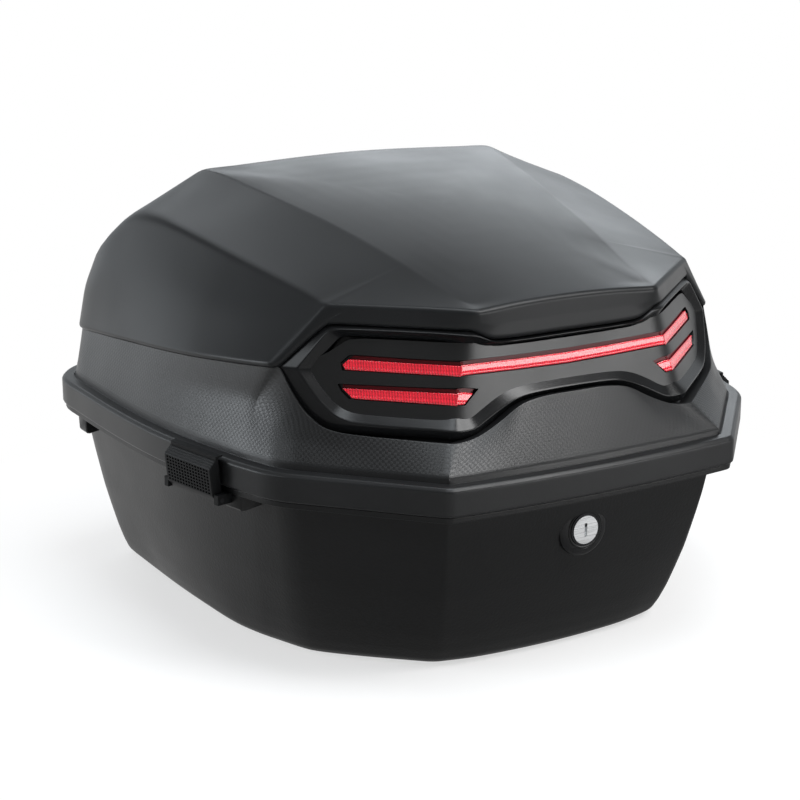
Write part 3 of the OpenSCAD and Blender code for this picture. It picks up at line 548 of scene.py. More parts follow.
def metal(name, colour, roughness, along_axis):
    """Turned or brushed metal: noise stretched along one axis changes the roughness and gives fine lines."""
    material, tree, shader = new_finish(name, colour, roughness, metallic=1.0)
    place = tree.nodes.new("ShaderNodeTexCoord")
    mapping = tree.nodes.new("ShaderNodeMapping")
    mapping.inputs["Scale"].default_value = [60 if axis == along_axis else 2600 for axis in "xyz"]
    noise = tree.nodes.new("ShaderNodeTexNoise")
    noise.inputs["Scale"].default_value = 1
    tree.links.new(place.outputs["Object"], mapping.inputs[0])
    tree.links.new(mapping.outputs[0], noise.inputs["Vector"])
    tree.links.new(ramp(tree, noise.outputs[0], 0.3, 0.7, roughness - 0.08, roughness + 0.1),
                   shader.inputs["Roughness"])
    tree.links.new(scaled_colour(tree, colour, ramp(tree, noise.outputs[0], 0.3, 0.7, 0.9, 1.05)),
                   shader.inputs["Base Color"])
    bump(tree, shader, noise.outputs[0], 0.08, 0.0001)
    return material


def build_finishes(look):
    """All finishes, by name."""
    grain_group()
    weave_group()
    return {
        "cover": plastic("Satin Cover", tuple(look.cover_colour), 0.36, 2200, 0.05, 0.2),
        "rim": plastic("Satin Rim", tuple(look.rim_colour), 0.40, 1500, 0.12, 0.3),
        "tub": plastic("Grained Tub", tuple(look.tub_colour), 0.42, 750, 0.45, 0.32),
        "wall": woven_plastic("Woven Wall", tuple(look.wall_colour), 0.40, look.weave_pitch),
        "bezel": plastic("Bezel Black", tuple(look.bezel_colour), 0.22, 2400, 0.04, 0.25),
        "panel": plastic("Panel Grey", tuple(look.panel_colour), 0.36, 2000, 0.06, 0.45),
        # Painted shade: a dark red for the lens's step and back shelf, where the slot's top edge shades it
        "lens_back": plastic("Lens Painted Shade", (0.1, 0.001, 0.004), 0.4, 1500, 0.05, 0.3),
        "lens": lens_red("Red Lens", tuple(look.lens_colour), (0.32, 0.002, 0.01), 0.2),
        "clip": plastic("Clip Black", tuple(look.clip_colour), 0.42, 1400, 0.1, 0.09),
        "rosette": plastic("Rosette Black", (0.005, 0.005, 0.0055), 0.32, 1800, 0.06, 0.28),
        "rubber": plastic("Seal Rubber", (0.014, 0.014, 0.014), 0.8, 700, 0.2, 0.3),
        "bright": metal("Bright Metal", (0.76, 0.77, 0.78), 0.3, "x"),
        "plate": metal("Brushed Plate", (0.62, 0.63, 0.65), 0.38, "x"),
        "steel": metal("Steel", (0.5, 0.5, 0.52), 0.34, "z"),
        "dark": metal("Blackened Steel", (0.03, 0.03, 0.032), 0.4, "y"),
    }


# Finishes by name, filled by their operator
FINISH = {}


# Pieces


def tub_plan(share):
    """Control plan of the tub's wall, at a share of the way from the flange's underside to the foot."""
    return np.column_stack([RIM[:, 0], inset(RIM, 17)[:, 1:] * (1 - share) + TUB_FOOT[:, 1:] * share])


def make_tub():
    """Tub: rings from the inner floor up the inside, over lip and flange and down the drafted wall.

    The wall goes from the flange's outline to the foot's outline by shares that give it a belly; the floor
    between the first and last ring is a flat sheet with four bolt holes on each face.
    """
    wall, bolt_radius, bolt_x, bolt_y = 3, 3.3, 75, 60
    shares = [(99, 0.075), (83, 0.185), (57, 0.385), (41, 0.54), (25, 0.705), (13, 0.855), (5, 0.985),
              (1.2, 1.12)]
    edge = [
        (20, FLANGE_LOW, 2), (20, FLANGE_TOP, 0.6), (9.5, FLANGE_TOP, 0.5), (9.5, LIP_TOP, 0.6),
        (6.5, LIP_TOP, 0.6), (6.5, FLANGE_TOP, 0.4), (2, FLANGE_TOP, 0.5), (2, FLANGE_LOW, 0.5),
        (16, FLANGE_LOW, 1.0),
    ]
    plans = [(inset(tub_plan(1.32), 4), FLOOR_TOP, 1), (inset(tub_plan(1.08), 3.4), 5, 4)]
    plans += [(inset(tub_plan(share), wall), z, 30) for z, share in reversed(shares[:6])]
    plans += [(inset(RIM, distance), z, rounding) for distance, z, rounding in edge]
    plans += [(tub_plan(share), z, 30) for z, share in shares]
    plans += [(tub_plan(1.3), 0, 4), (inset(tub_plan(1.32), 1), 0, 1)]
    grid = soften([(ring(level(plan, z)), rounding) for plan, z, rounding in plans], 3)
    rows, columns = grid.shape[:2]
    parts = [(grid, grid_faces(rows, columns, wrap_columns=True))]
    turn = np.linspace(0, 2 * math.pi, 24, endpoint=False)
    circle = np.stack([np.cos(turn), np.sin(turn)], axis=1) * bolt_radius
    holes = [circle + (sx * bolt_x, sy * bolt_y) for sx in (-1, 1) for sy in (-1, 1)]
    for rim, z in ((grid[0], FLOOR_TOP), (grid[-1], 0.0)):
        parts.append(holed_sheet(rim[:, :2], holes, z))
    for hole in holes:
        shaft = np.stack([np.column_stack([hole, np.full(len(hole), z)]) for z in (0.0, FLOOR_TOP)])
        parts.append((shaft, grid_faces(2, len(hole), wrap_columns=True)))
    for place, width in ((-80, 16), (132, 14)):
        parts.extend(gusset(place, width))
    points, faces = joined(*parts)
    return piece("tub_shell_surface", points, faces, "tub", FINISH["tub"], ["tub_shell"])


def holed_sheet(edge, holes, z):
    """A flat sheet inside a closed plan edge, with round holes, as Delaunay triangles."""
    loops = [edge, *holes]
    starts = np.cumsum([0] + [len(p) for p in loops])
    index = [np.arange(len(p)) for p in loops]
    edges = np.concatenate([np.stack([k, np.roll(k, -1)], axis=1) + start for k, start in zip(index, starts)])
    done = delaunay_2d_cdt([Vector(p) for p in np.concatenate(loops)], edges.tolist(), [], 4, 1e-6)
    flat = np.array([tuple(v) for v in done[0]])
    return np.column_stack([flat, np.full(len(flat), z)]), np.array([list(f) for f in done[2]])


def gusset(y, width):
    """Ribs under the flange on both sides at y: a block at the flange whose foot rises towards the wall."""
    section = np.array([
        (15, 118.2), (3.6, 118.2), (3.2, 116.5), (3.6, 108.6), (4.6, 107.2), (6.4, 106.7), (20, 109.2),
    ])
    across = y + np.array([-width / 2, -width / 2 + 1, width / 2 - 1, width / 2])
    narrow = np.array([0.6, 0.0, 0.0, 0.6])[:, None]
    x = np.interp(across, RIM[8:16, 2], RIM[8:16, 1])[:, None] - section[None, :, 0] - narrow
    z = section[None, :, 1] + narrow
    count = len(section)
    faces = grid_faces(4, count, wrap_columns=True).tolist()
    faces += [list(range(count)), list(range(3 * count, 4 * count))]
    ahead = np.broadcast_to(across[:, None], x.shape)
    return [(np.stack([x * side, ahead, z], axis=-1), faces) for side in (-1, 1)]


def wall_top():
    """Control line of the lower wall's top: proud of the bezel at the fold, tucked in at the tip."""
    out = np.interp(UNDER_LIGHT[:, 0], [7, 12, 14], [3.0, 1.5, -1.8])
    return np.concatenate([face_line(UNDER_LIGHT, out), PARTING])


def lower_wall():
    """Top, middle and foot rings of the lid's lower wall.

    The middle ring is 0.55 of the way up. Its lean is the straight wall's at the rear and the front, and
    between the stations 10 and 18.5 it passes evenly from the chamfer's lean to the side's.
    """
    top, foot = along(wall_top(), HALF), along(level(inset(RIDGED, 10.6), 144.6), HALF)
    height = top[:, 2:] - foot[:, 2:]
    keep = (HALF <= 10) | (HALF >= 18.5)
    lean = ((top - foot) / height)[keep]
    lean = np.stack([np.interp(HALF, HALF[keep], lean[:, axis]) for axis in range(3)], axis=1)
    return whole(top), whole(foot + lean * height * 0.55), whole(foot)


def wall_uv(grid, foot_row):
    """UV map in metres: the way round the rim from the rear middle, and the climb from the wall's foot."""
    arc = np.cumsum(np.linalg.norm(np.diff(along(level(RIM, 0.0), HALF), axis=0), axis=1))
    arc = np.append(0, arc)
    climb = np.cumsum(np.linalg.norm(np.diff(grid, axis=0), axis=2), axis=0)
    climb = np.concatenate([climb[:1] * 0, climb]) - climb[foot_row]
    way_round = np.broadcast_to(np.concatenate([arc, -arc[-2:0:-1]]), climb.shape)
    return np.stack([way_round, -climb], axis=-1) * MM


def cover_edge():
    """Ring of the cover's lower edge: over the reflector unit, then just above the parting line."""
    out = np.interp(OVER_LIGHT[:, 0], [4, 7], [-2.2, -3.0])
    return ring(np.concatenate([face_line(OVER_LIGHT, out), PARTING + [0, 0, 0, 0.9]]))


def make_lid_shell():
    """Lid shell: rings from the inner dome's top down behind the cover and out over the lower wall and band.

    The rings turn in under the band, pass the seal's channel and climb the inner wall to the dome's
    underside, so the shell is one closed skin. The dome is lifted at the rear, so that the heads of the
    cover's screws show.
    """
    per = 3
    heart = np.array([0.0, -10.0, 150.0])
    top, middle, foot = lower_wall()
    brow, crown = ring(BROW), ring(CROWN)
    rear = by_station([13.6, 14.4], [1.0, 0.0])[:, None]
    lift = by_station([0, 9, 20, 26], [4.2, 4.2, 0.0, 0.0])[:, None]
    tuck = toward(top, heart, 2.8) * (1 - rear) + light_ring(UNDER_LIGHT, -15.0) * rear
    behind = UNDER_LIGHT.copy()
    behind[:, 2] = np.minimum(behind[:, 2], 96)
    behind[:, 3] = np.where(behind[:, 0] > 6, 226, 220)
    side = toward(brow, heart, 6) * 0.6 + toward(top, heart, 8) * 0.4
    tall = side * (1 - rear) + light_ring(behind, -18.0) * rear
    pole = np.broadcast_to([0.0, -15.0, panel_height(0.0, -15.0) - 6.5], top.shape)
    keys = [
        (pole, 1), (toward(crown, heart, 9 - lift * 0.7), 12), (toward(brow, heart, 9), 12), (tall, 6),
        (tuck, 0.6), (toward(top, heart, 0.5), 0.4), (top, 0.5), (middle, 14), (foot, 1.6),
    ]
    first_wall = len(keys) - 3
    band = [
        (9.9, 140.9, 0.35), (9.3, 140.4, 0.3), (8.9, 141.2, 0.3), (2.2, 141.0, 0.9), (0, 138.8, 1.0),
        (0, 123.2, 0.8), (1.0, BAND_LOW, 0.4), (4.5, BAND_LOW, 0.4), (4.5, CHANNEL_TOP, 0.5),
        (12.5, CHANNEL_TOP, 0.5), (14.5, 135, 2),
    ]
    keys += [(ring(level(inset(RIM, distance), z)), rounding) for distance, z, rounding in band]
    keys += [
        (toward(top, heart, 12), 10), (toward(tall, heart, 4), 8), (toward(brow, heart, 12), 14),
        (toward(crown, heart, 12 - lift), 14), (pole - np.array([0, 0, 3.0]), 1),
    ]
    grid = soften(keys, per)
    rows, columns = grid.shape[:2]
    start, stop = per * (3 * first_wall - 1), per * (3 * first_wall + 6)
    row = np.repeat(np.arange(rows - 1), columns)
    faces = grid_faces(rows, columns, wrap_columns=True)
    return piece("lid_shell_surface", grid, faces, "lid", [FINISH["rim"], FINISH["wall"]],
                 ["lid_shell"], paint=(row >= start) & (row < stop), uv=wall_uv(grid, stop))


def make_cover():
    """Lid cover: rings from the turned-in edge over the brow and the crease to the middle of the top.

    Strips between the rings are straight; the brow's edge and the creases are rounded by their own amounts,
    and the top panel's rings shrink towards the middle while their height follows the crowned panel.
    """
    heart, centre = np.array([0.0, 0.0, 205.0]), np.array([0.0, -15.0])
    edge, brow, crown = cover_edge(), ring(BROW), ring(CROWN)
    rear = by_station([13.7, 14.2], [1.0, 0.0])[:, None]
    turned = toward(edge, heart, 2.5) * (1 - rear) + light_ring(OVER_LIGHT + [0, 0, 0, 1.0], -8.0) * rear
    middle = by_station([0, 5, 6.6, 7.2], [1.0, 1.0, 0.25, 0.0])[:, None]
    sunk = light_point(np.clip(brow[:, 0], -66, 66), 230.2, -1.3)
    side_bulge = by_station([0, 14.6, 17, 20, 21.3, 26], [0, 0, 1.0, 2.0, 3.0, 3.0])[:, None]
    outward = brow * [1.0, 0.6, 0.0]
    outward /= np.linalg.norm(outward, axis=1, keepdims=True)
    lower = (edge * 0.5 + brow * 0.5 + outward * side_bulge) * (1 - middle) + sunk * middle
    keys = [
        (turned, 0.5), (edge, 0.7),
        (lower, by_station([0, 6.5, 8, 14, 15, 26], [0.8, 0.8, 6, 6, 30, 30])),
        (brow, by_station([0, 13.8, 14.3, 16, 19, 20.7, 22, 26], [0.9, 0.9, 1.6, 2.2, 3.0, 7, 18, 22])),
        (crown, by_station([0, 6.5, 7.2, 8, 19, 20.7, 22, 26], [6, 6, 2, 1.6, 2.2, 5, 8, 8])),
    ]
    for share in (0.92, 0.8, 0.66, 0.52, 0.38, 0.24, 0.1, 0.0):
        plan = centre + (crown[:, :2] - centre) * share
        edge_gap = (crown[:, 2] - panel_height(crown[:, 0], crown[:, 1])) * share ** 6
        keys.append((np.column_stack([plan, panel_height(plan[:, 0], plan[:, 1]) + edge_gap]), 40))
    grid = soften(keys, 4)
    rows, columns = grid.shape[:2]
    made = piece("lid_cover_surface", grid, grid_faces(rows, columns, wrap_columns=True)[:, ::-1], "lid",
                 FINISH["cover"], ["lid_cover"], sharp=40, closed=False)
    shell = made.modifiers.new("Wall", "SOLIDIFY")
    shell.thickness = 2.4 * MM
    shell.offset = -1
    return made


# Bezel: rows of (station, kind, distance, z) for its outer edge, ridge and inner edge, from the top round to
# the bottom
BEZEL_OUT = np.array([
    (0, 0, 0, 219.6), (2, 0, 36, 219.6), (3, 0, 52, 220), (4, 0, 58.5, 221.4), (5, 0, 63.9, 224.6),
    (6, 0, 68.7, 227.7), (7, 1, 14.5, 228.8), (8, 1, 54.5, 229.4), (8.7, 1, 82.6, 229.7),
    (9, 1, 91.4, 229.2), (9.3, 1, 95, 226.4), (9.7, 1, 106.8, 214.4), (9.93, 1, 116, 204.8),
    (10, 1, 119.2, 201.6), (10.07, 1, 115.9, 197.7), (10.5, 1, 103.8, 183.6), (11, 1, 93.8, 172.9),
    (11.4, 1, 85.9, 167.5), (11.8, 1, 78.1, 164.6), (12.2, 1, 68.9, 163.4), (13, 1, 43.1, 162.9),
    (14, 1, 6.1, 162.7), (14.6, 0, 75.6, 160.6), (15, 0, 70.3, 161.5), (15.6, 0, 65, 165),
    (16.2, 0, 55.5, 170.6), (16.8, 0, 46.5, 175.8), (17.4, 0, 38, 179), (18, 0, 28, 180.3),
    (19, 0, 14, 181), (20, 0, 0, 181.2),
])
BEZEL_RIDGE = np.array([
    (0, 0, 0, 217.8), (2, 0, 34, 217.6), (3, 0, 50, 218), (4, 0, 57, 219), (5, 0, 62.5, 221.4),
    (6, 0, 69.6, 224.5), (7, 1, 14, 225.6), (8, 1, 54, 225.9), (8.7, 1, 78.9, 225.9), (9, 1, 85.8, 225.2),
    (9.3, 1, 89.4, 222.9), (9.7, 1, 97.3, 211.5), (9.93, 1, 103.4, 203), (10, 1, 104.7, 200.9),
    (10.07, 1, 103, 198.5), (10.5, 1, 97.3, 191.8), (11, 1, 89.2, 182.6), (11.4, 1, 82.2, 176.7),
    (11.8, 1, 75, 172.4), (12.2, 1, 65.6, 169.1), (13, 1, 42, 168.1), (14, 1, 6.9, 167.5),
    (14.6, 0, 79.7, 166.5), (15, 0, 74.4, 167.4), (15.6, 0, 67.5, 170.8), (16.2, 0, 58, 175.6),
    (16.8, 0, 48.5, 179.6), (17.4, 0, 39.5, 182.6), (18, 0, 30, 183.6), (19, 0, 15, 184),
    (20, 0, 0, 184.1),
])
BEZEL_IN = np.array([
    (0, 0, 0, 215.2), (2, 0, 34.4, 215.3), (3, 0, 55.4, 215.6), (4, 0, 61.5, 216), (5, 0, 66, 217.1),
    (6, 0, 69.6, 219.2), (7, 1, 12.8, 221.4), (8, 1, 52.8, 222), (8.7, 1, 73.7, 222.2),
    (9, 1, 79.6, 221.6), (9.3, 1, 82.7, 219.6), (9.7, 1, 89.8, 210), (9.93, 1, 94.1, 203.1),
    (10, 1, 94.8, 201.3), (10.07, 1, 93.6, 199.3), (10.5, 1, 88.8, 193.6), (11, 1, 83.4, 188),
    (11.4, 1, 78.1, 183.3), (11.8, 1, 73, 180), (12.2, 1, 66.1, 177.4), (13, 1, 43.2, 176.3),
    (14, 1, 8, 175.5), (14.6, 0, 78.6, 174.4), (15, 0, 75, 175.4), (15.6, 0, 70, 178.1),
    (16.2, 0, 61.9, 182.8), (16.8, 0, 52.9, 187), (17.4, 0, 43.4, 189.4), (18, 0, 32.5, 190.2),
    (19, 0, 15.5, 190.6), (20, 0, 0, 190.7),
])
BEZEL_STEPS = np.unique(np.round(np.concatenate([
    np.linspace(0, 20, 20 * 8 + 1), np.linspace(9.6, 10.4, 41), np.linspace(8.6, 9.6, 21),
]), 4))


def bezel_ring(rows, w):
    """Closed ring on the reflector's face through rows of (station, kind, distance, z), w out of the face."""
    q, z = along_face(rows), rows[:, 3]
    line = along(np.column_stack([rows[:, 0], q, z, 0 * z]), BEZEL_STEPS)
    return whole(light_point(line[:, 0], line[:, 1], w))


def make_bezel():
    """Bezel: a ridged frame, as rings on the reflector's face from its inner to its outer edge."""
    back = -10.5
    grid = soften([
        (bezel_ring(BEZEL_IN, back), 0.3), (bezel_ring(BEZEL_IN, -5.2), 0.4),
        (bezel_ring(BEZEL_RIDGE, 0.0), 0.8),
        (bezel_ring(BEZEL_OUT, -4.2), 0.5), (bezel_ring(BEZEL_OUT, back), 0.3),
    ], 3)
    faces = grid_faces(*grid.shape[:2], wrap_rows=True, wrap_columns=True)
    return piece("light_bezel_surface", grid, faces, "lid", FINISH["bezel"],
                 ["light_bezel"], sharp=25)


# Heights of the panel's rows over the distance from the middle: lower border, two slots, upper border
PANEL_LOW = ([0, 15, 32, 42, 52, 61, 69, 74, 84, 130, 150, 158, 166, 176, 190],
             [187, 187, 186.6, 185.7, 183.3, 179, 174.6, 172.4, 172, 172.6, 173.4, 175.4, 179, 185, 196])
SLOT_LOW = ([0, 50, 62, 70, 75, 82, 120, 152, 160, 172, 190],
            [190, 187, 183.4, 182, 182, 182.5, 183.3, 184, 185, 188, 197])
SLOT_LOW_TOP = ([0, 50, 66, 75, 82, 90, 155, 166, 172, 190],
                [193.8, 193, 191, 190.8, 192.6, 193, 193, 193.6, 194.5, 199])
SLOT_UP = ([0, 40, 78, 120, 157, 166, 190], [198, 198.8, 200, 200.6, 201.3, 201.8, 201])
SLOT_UP_TOP = ([0, 36, 75, 120, 155, 158, 166, 190], [207.9, 208.3, 209.2, 209.9, 210.8, 210.5, 209, 203])
PANEL_HIGH = ([0, 34, 55, 61, 66, 72, 90, 130, 152, 158, 163, 172, 180, 190],
              [214.8, 214.9, 215.4, 216, 217.2, 219, 220.4, 220.9, 221, 220.2, 218.4, 213, 208.8, 205])
ROW_LINES = [PANEL_LOW, SLOT_LOW, SLOT_LOW_TOP, SLOT_UP, SLOT_UP_TOP, PANEL_HIGH]
PANEL_FACE, PANEL_BACK, SLOT_DEPTH = -4.0, -9.8, 3.6

# Nominal distances from the middle: the lower slot's two ends, the upper slot's end and the panel's end
LOW_START, LOW_END, HIGH_END, PANEL_END = 75.0, 155.0, 158.0, 190.0


def slot_ends(z):
    """Distances from the middle of the lower slot's two ends and the upper slot's end, at height z."""
    inner = np.interp(z, [165, 182, 190.7, 200], [79, 79, 68.6, 68.6])
    outer = fold(z) + np.interp(z, [165, 184, 190.6, 193, 197, 201.3, 204.5, 210.8, 222],
                                [65.3, 69, 77.7, 78.1, 73.3, 73.3, 76.3, 70.1, 70.3])
    upper = fold(z) + np.interp(z, [165, 193, 197, 201.3, 204.5, 210.8, 222],
                                [81.3, 82.3, 79.3, 76.5, 79.7, 73.4, 74.3])
    return inner, outer, upper


def panel_lattice(nominal, v):
    """Place on the panel of nominal distances and row numbers; columns bend to the slots' slanted ends."""
    size = np.abs(nominal)[None, :] + 0 * v[:, None]
    heights = np.stack([np.interp(np.abs(nominal), *line) for line in ROW_LINES])
    base = np.clip(np.floor(v).astype(int), 0, 4)
    share = (v - base)[:, None]
    z = heights[base] * (1 - share) + heights[base + 1] * share
    marks = [0.0, LOW_START, LOW_END, HIGH_END, PANEL_END]
    ends = [0 * z, *slot_ends(z), fold(z) + 100.3]
    q = np.zeros_like(z)
    for a, b, p, r in zip(marks[:-1], marks[1:], ends[:-1], ends[1:]):
        part = np.clip((size - a) / (b - a), 0, 1)
        q = np.where(size >= a, p + (r - p) * part, q)
    return q * np.sign(nominal)[None, :], z


def make_panel():
    """Panel: a lattice on the reflector's face whose cells inside the three lens slots are sunk."""
    wall, thin = np.array([-0.25, 0.25]), np.array([-0.02, 0.02])
    half = np.concatenate([
        np.linspace(0, 60, 16), [66, 69, 71, 73], LOW_START + wall, np.arange(76.5, 106, 1.5),
        np.linspace(107, 150, 9), LOW_END + wall, HIGH_END + wall, [162, 168, 174, 182, PANEL_END],
    ])
    nominal = np.concatenate([-half[:0:-1], half])
    v = np.concatenate([[0, 0.5], 1 + thin, [1.5], 2 + thin, [2.5], 3 + thin, [3.5], 4 + thin, [4.5, 5]])
    q, z = panel_lattice(nominal, v)
    size = np.abs(nominal)[None, :]
    row = v[:, None]
    low = (row > 1) & (row < 2) & (size > LOW_START) & (size < LOW_END)
    high = (row > 3) & (row < 4) & (size < HIGH_END)
    w = np.where(low | high, PANEL_FACE - SLOT_DEPTH, PANEL_FACE)
    points, faces = slab(light_point(q, z, w, 4.5), light_point(q, z, PANEL_BACK, 4.5))
    return piece("light_panel_surface", points, faces, "lid", FINISH["panel"],
                 ["light_panel"], sharp=25)


def make_lens(node, start, stop, row, count):
    """Lens: a ribbed bar along a slot, with a lip along its lower edge and closed, slanted ends.

    The section is a closed line in height and depth; ribs 2.4 mm apart ripple the front face, and the
    step over the front face and the shelf behind it get a dark red finish, painted shade for the slot's top
    gap.
    """
    rib_pitch, rib_height, step = 2.4, 0.06, [9, 10, 11]
    section = np.array([
        (0.03, -7.4), (0.03, -5.15), (0.06, -4.85), (0.2, -4.8), (0.23, -5.0), (0.36, -5.0), (0.5, -5.0),
        (0.62, -5.0), (0.69, -5.05), (0.72, -5.3), (0.73, -6.7), (0.96, -6.9), (0.97, -7.4),
    ])
    q, z = panel_lattice(np.linspace(start, stop, count), row + section[:, 0])
    rib = rib_height * (1 - np.abs(np.mod(q / rib_pitch, 1.0) * 2 - 1))
    front = ((section[:, 0] > 0.21) & (section[:, 1] > -5.04))[:, None]
    grid = light_point(q, z, section[:, 1:] + np.where(front, rib, 0), 0.5)
    ends = [np.broadcast_to(grid[:, k].mean(axis=0), grid[:, k].shape)[:, None] for k in (0, -1)]
    grid = np.concatenate([ends[0], grid, ends[1]], axis=1)
    uv = np.stack([q, z], axis=-1) * MM
    uv = np.concatenate([uv[:, :1], uv, uv[:, -1:]], axis=1)
    size, columns = grid.shape[:2]
    # The step rows get the dark red finish: painted shade for the gap under the slot's top edge
    paint = np.repeat(np.isin(np.arange(size), step), columns - 1)
    return piece(node + "_surface", grid, grid_faces(size, columns, wrap_rows=True), "lid",
                 [FINISH["lens"], FINISH["lens_back"]], [node], sharp=50, uv=uv, paint=paint)


def pocket_steps(start, stop, count, rim):
    """Places and flags for a row of square pockets: each edge is there twice, on face and floor."""
    pitch = (stop - start) / count
    k = np.arange(count)[:, None] * pitch + start
    slope = 0.12
    places = (k + np.array([[rim, rim + slope, pitch - rim - slope, pitch - rim]])).ravel()
    inside = np.tile([False, True, True, False], count)
    return np.concatenate([[start], places, [stop]]), np.concatenate([[False], inside, [False]])


def make_clip(side):
    """Snap clip: its section carried along its length, with a field of square pockets and ribs on the bevel.

    The section is turned by the rest angle about the pin, and then out along the rim's side.
    """
    length, face_x, depth, rib_height = 49.4, 8.0, 1.1, 0.38
    middle, turn = (207.22, -52.0), math.radians(11.801)
    pivot, rest = (4.0, 114.5), math.radians(6)
    face_z, face_in = pocket_steps(117.8, 135.4, 8, 0.42)
    y, y_in = pocket_steps(-length / 2 + 1.8, length / 2 - 1.8, 15, 0.55)
    y = np.concatenate([[-length / 2, -length / 2 + 0.5], y, [length / 2 - 0.5, length / 2]])
    y_in = np.pad(y_in, 2)
    s = np.linspace(0, 1, 25)
    ribs = rib_height * np.abs(np.sin(s * math.pi * 4))
    slope = np.stack([face_x - 5.5 * s, 136 + 4.5 * s], axis=1)
    bevel = slope + np.array([0.633, 0.774]) * (ribs - rib_height)[:, None]
    heel = [(1, 119), (2.2, 117), (2.2, 112.3), (2.6, 112), (4.4, 112), (4.9, 112.3), (7.8, 117)]
    hook = [(2, 142.3), (1.6, 142.6), (-2.5, 142.6), (-2.8, 142.3), (-2.8, 141.6), (1, 141.4)]
    face = np.stack([np.full(len(face_z), face_x), face_z], axis=1)
    section = np.concatenate([heel, face, bevel, hook])
    sunk = np.pad(face_in, (len(heel), len(bevel) + len(hook)))[:, None] & y_in[None, :]
    pinch = np.where(np.abs(y) > length / 2 - 0.2, 0.45, 0.0)
    dx = section[:, :1] - np.where(sunk, depth, 0) - pinch[None, :] - pivot[0]
    dz = section[:, 1:] + 0 * y[None, :] - pivot[1]
    x = pivot[0] + dx * math.cos(rest) + dz * math.sin(rest)
    z = pivot[1] - dx * math.sin(rest) + dz * math.cos(rest)
    out = (middle[0] + x * math.cos(turn) + y * math.sin(turn)) * side
    ahead = middle[1] - x * math.sin(turn) + y * math.cos(turn)
    grid = np.stack([out, ahead, z], axis=-1)
    rows, columns = grid.shape[:2]
    caps = np.arange(rows) * columns
    faces = grid_faces(rows, columns, wrap_rows=True).tolist()
    faces += [caps.tolist(), (caps + columns - 1).tolist()]
    name = "left" if side < 0 else "right"
    return piece(name + "_clip_surface", grid, faces, name + "_latch", FINISH["clip"],
                 [name + "_clip"], sharp=25)


def lathe(profile, centre, count=96):
    """Points and quads of a profile of (radius, out) turned about the lock's axis, out towards -Y."""
    profile = np.asarray(profile, float)
    angle = np.linspace(0, 2 * math.pi, count, endpoint=False)
    r, out = profile[:, :1], profile[:, 1:] + 0 * angle[None, :]
    grid = np.stack([centre[0] + r * np.cos(angle), centre[1] - out, centre[2] + r * np.sin(angle)], axis=-1)
    return grid, grid_faces(len(profile), count, wrap_rows=True, wrap_columns=True)


def make_rosette():
    """Lock rosette: a domed ring with a stepped collar round the key face."""
    profile = [
        (18.4, 0), (18.5, 0.4), (18.5, 1.6), (18.2, 2.6), (17.4, 3.4), (16, 4.0), (14.2, 4.45), (13.3, 4.5),
        (13.1, 4.3), (12.9, 4.3), (12.7, 4.6), (12.3, 5.0), (11.7, 5.0), (11.3, 4.8), (11.1, 4.4), (11.1, 0),
    ]
    grid, faces = lathe(profile, LOCK_CENTRE)
    return piece("lock_rosette_surface", grid, faces, "tub", FINISH["rosette"],
                 ["lock_rosette"], sharp=28)


def dress_nodes():
    """Finishes for the CAD nodes that stay."""
    by_finish = {
        "clip": ["left_clip_base", "right_clip_base", "left_hinge_base", "right_hinge_base",
                 "left_hinge_leaf", "right_hinge_leaf"],
        "rubber": ["rim_seal"],
        "bezel": ["light_back"],
        "bright": ["key_cylinder"],
        "plate": ["floor_plate"],
        "dark": ["left_clip_pin", "right_clip_pin", "clip_base_screws", "lock_housing"],
        "steel": ["lock_nut", "lock_cam", "cam_screw", "striker", "striker_screws", "cover_screws",
                  "left_hinge_pin", "right_hinge_pin", "hinge_base_screws", "hinge_leaf_screws",
                  "light_screws"],
    }
    for finish, names in by_finish.items():
        for name in names:
            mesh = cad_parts[name].data
            mesh.materials.clear()
            mesh.materials.append(FINISH[finish])


# Stage


COOL = (0.9, 0.955, 1.0)


def area_lamp(name, place, target, size, power, colour=(1, 1, 1)):
    """A rectangular lamp at `place`, turned to `target`."""
    lamp = bpy.data.lights.new(name, "AREA")
    lamp.shape = "RECTANGLE"
    lamp.size, lamp.size_y = size
    lamp.energy = power
    lamp.color = colour
    made = bpy.data.objects.new(name, lamp)
    made.location = place
    made.rotation_euler = (Vector(target) - Vector(place)).to_track_quat("-Z", "Y").to_euler()
    bpy.context.scene.collection.objects.link(made)


def make_world(strength):
    """World: plain soft light, seen as white by the camera and, low behind the case, by reflections."""
    world = bpy.data.worlds.new("Studio")
    bpy.context.scene.world = world
    world.use_nodes = True
    tree = world.node_tree
    tree.nodes.clear()
    path = tree.nodes.new("ShaderNodeLightPath")
    way = tree.nodes.new("ShaderNodeTexCoord")
    ahead = tree.nodes.new("ShaderNodeVectorMath")
    ahead.operation = "DOT_PRODUCT"
    ahead.inputs[1].default_value = (0.3, 0.954, 0.0)
    split = tree.nodes.new("ShaderNodeSeparateXYZ")
    for node in (ahead, split):
        tree.links.new(way.outputs["Generated"], node.inputs[0])
    backdrop = maths(tree, "MULTIPLY", ramp(tree, ahead.outputs["Value"], 0.05, 0.9, 0.0, 1.0),
                     ramp(tree, split.outputs[2], 0.1, 0.55, 1.0, 0.3))
    seen = maths(tree, "MAXIMUM", path.outputs["Is Camera Ray"], path.outputs["Is Transmission Ray"])
    seen = maths(tree, "MAXIMUM", seen, maths(tree, "MULTIPLY", path.outputs["Is Glossy Ray"], backdrop))
    white, soft = tree.nodes.new("ShaderNodeBackground"), tree.nodes.new("ShaderNodeBackground")
    white.inputs["Strength"].default_value = 1.0
    tone = mix_colours(tree, path.outputs["Is Glossy Ray"], (1, 1, 1), COOL)
    tree.links.new(tone, white.inputs["Color"])
    soft.inputs["Strength"].default_value = strength
    soft.inputs["Color"].default_value = (1, 1, 1, 1)
    mix_shaders(tree, seen, soft.outputs[0], white.outputs[0], tree.nodes.new("ShaderNodeOutputWorld"))


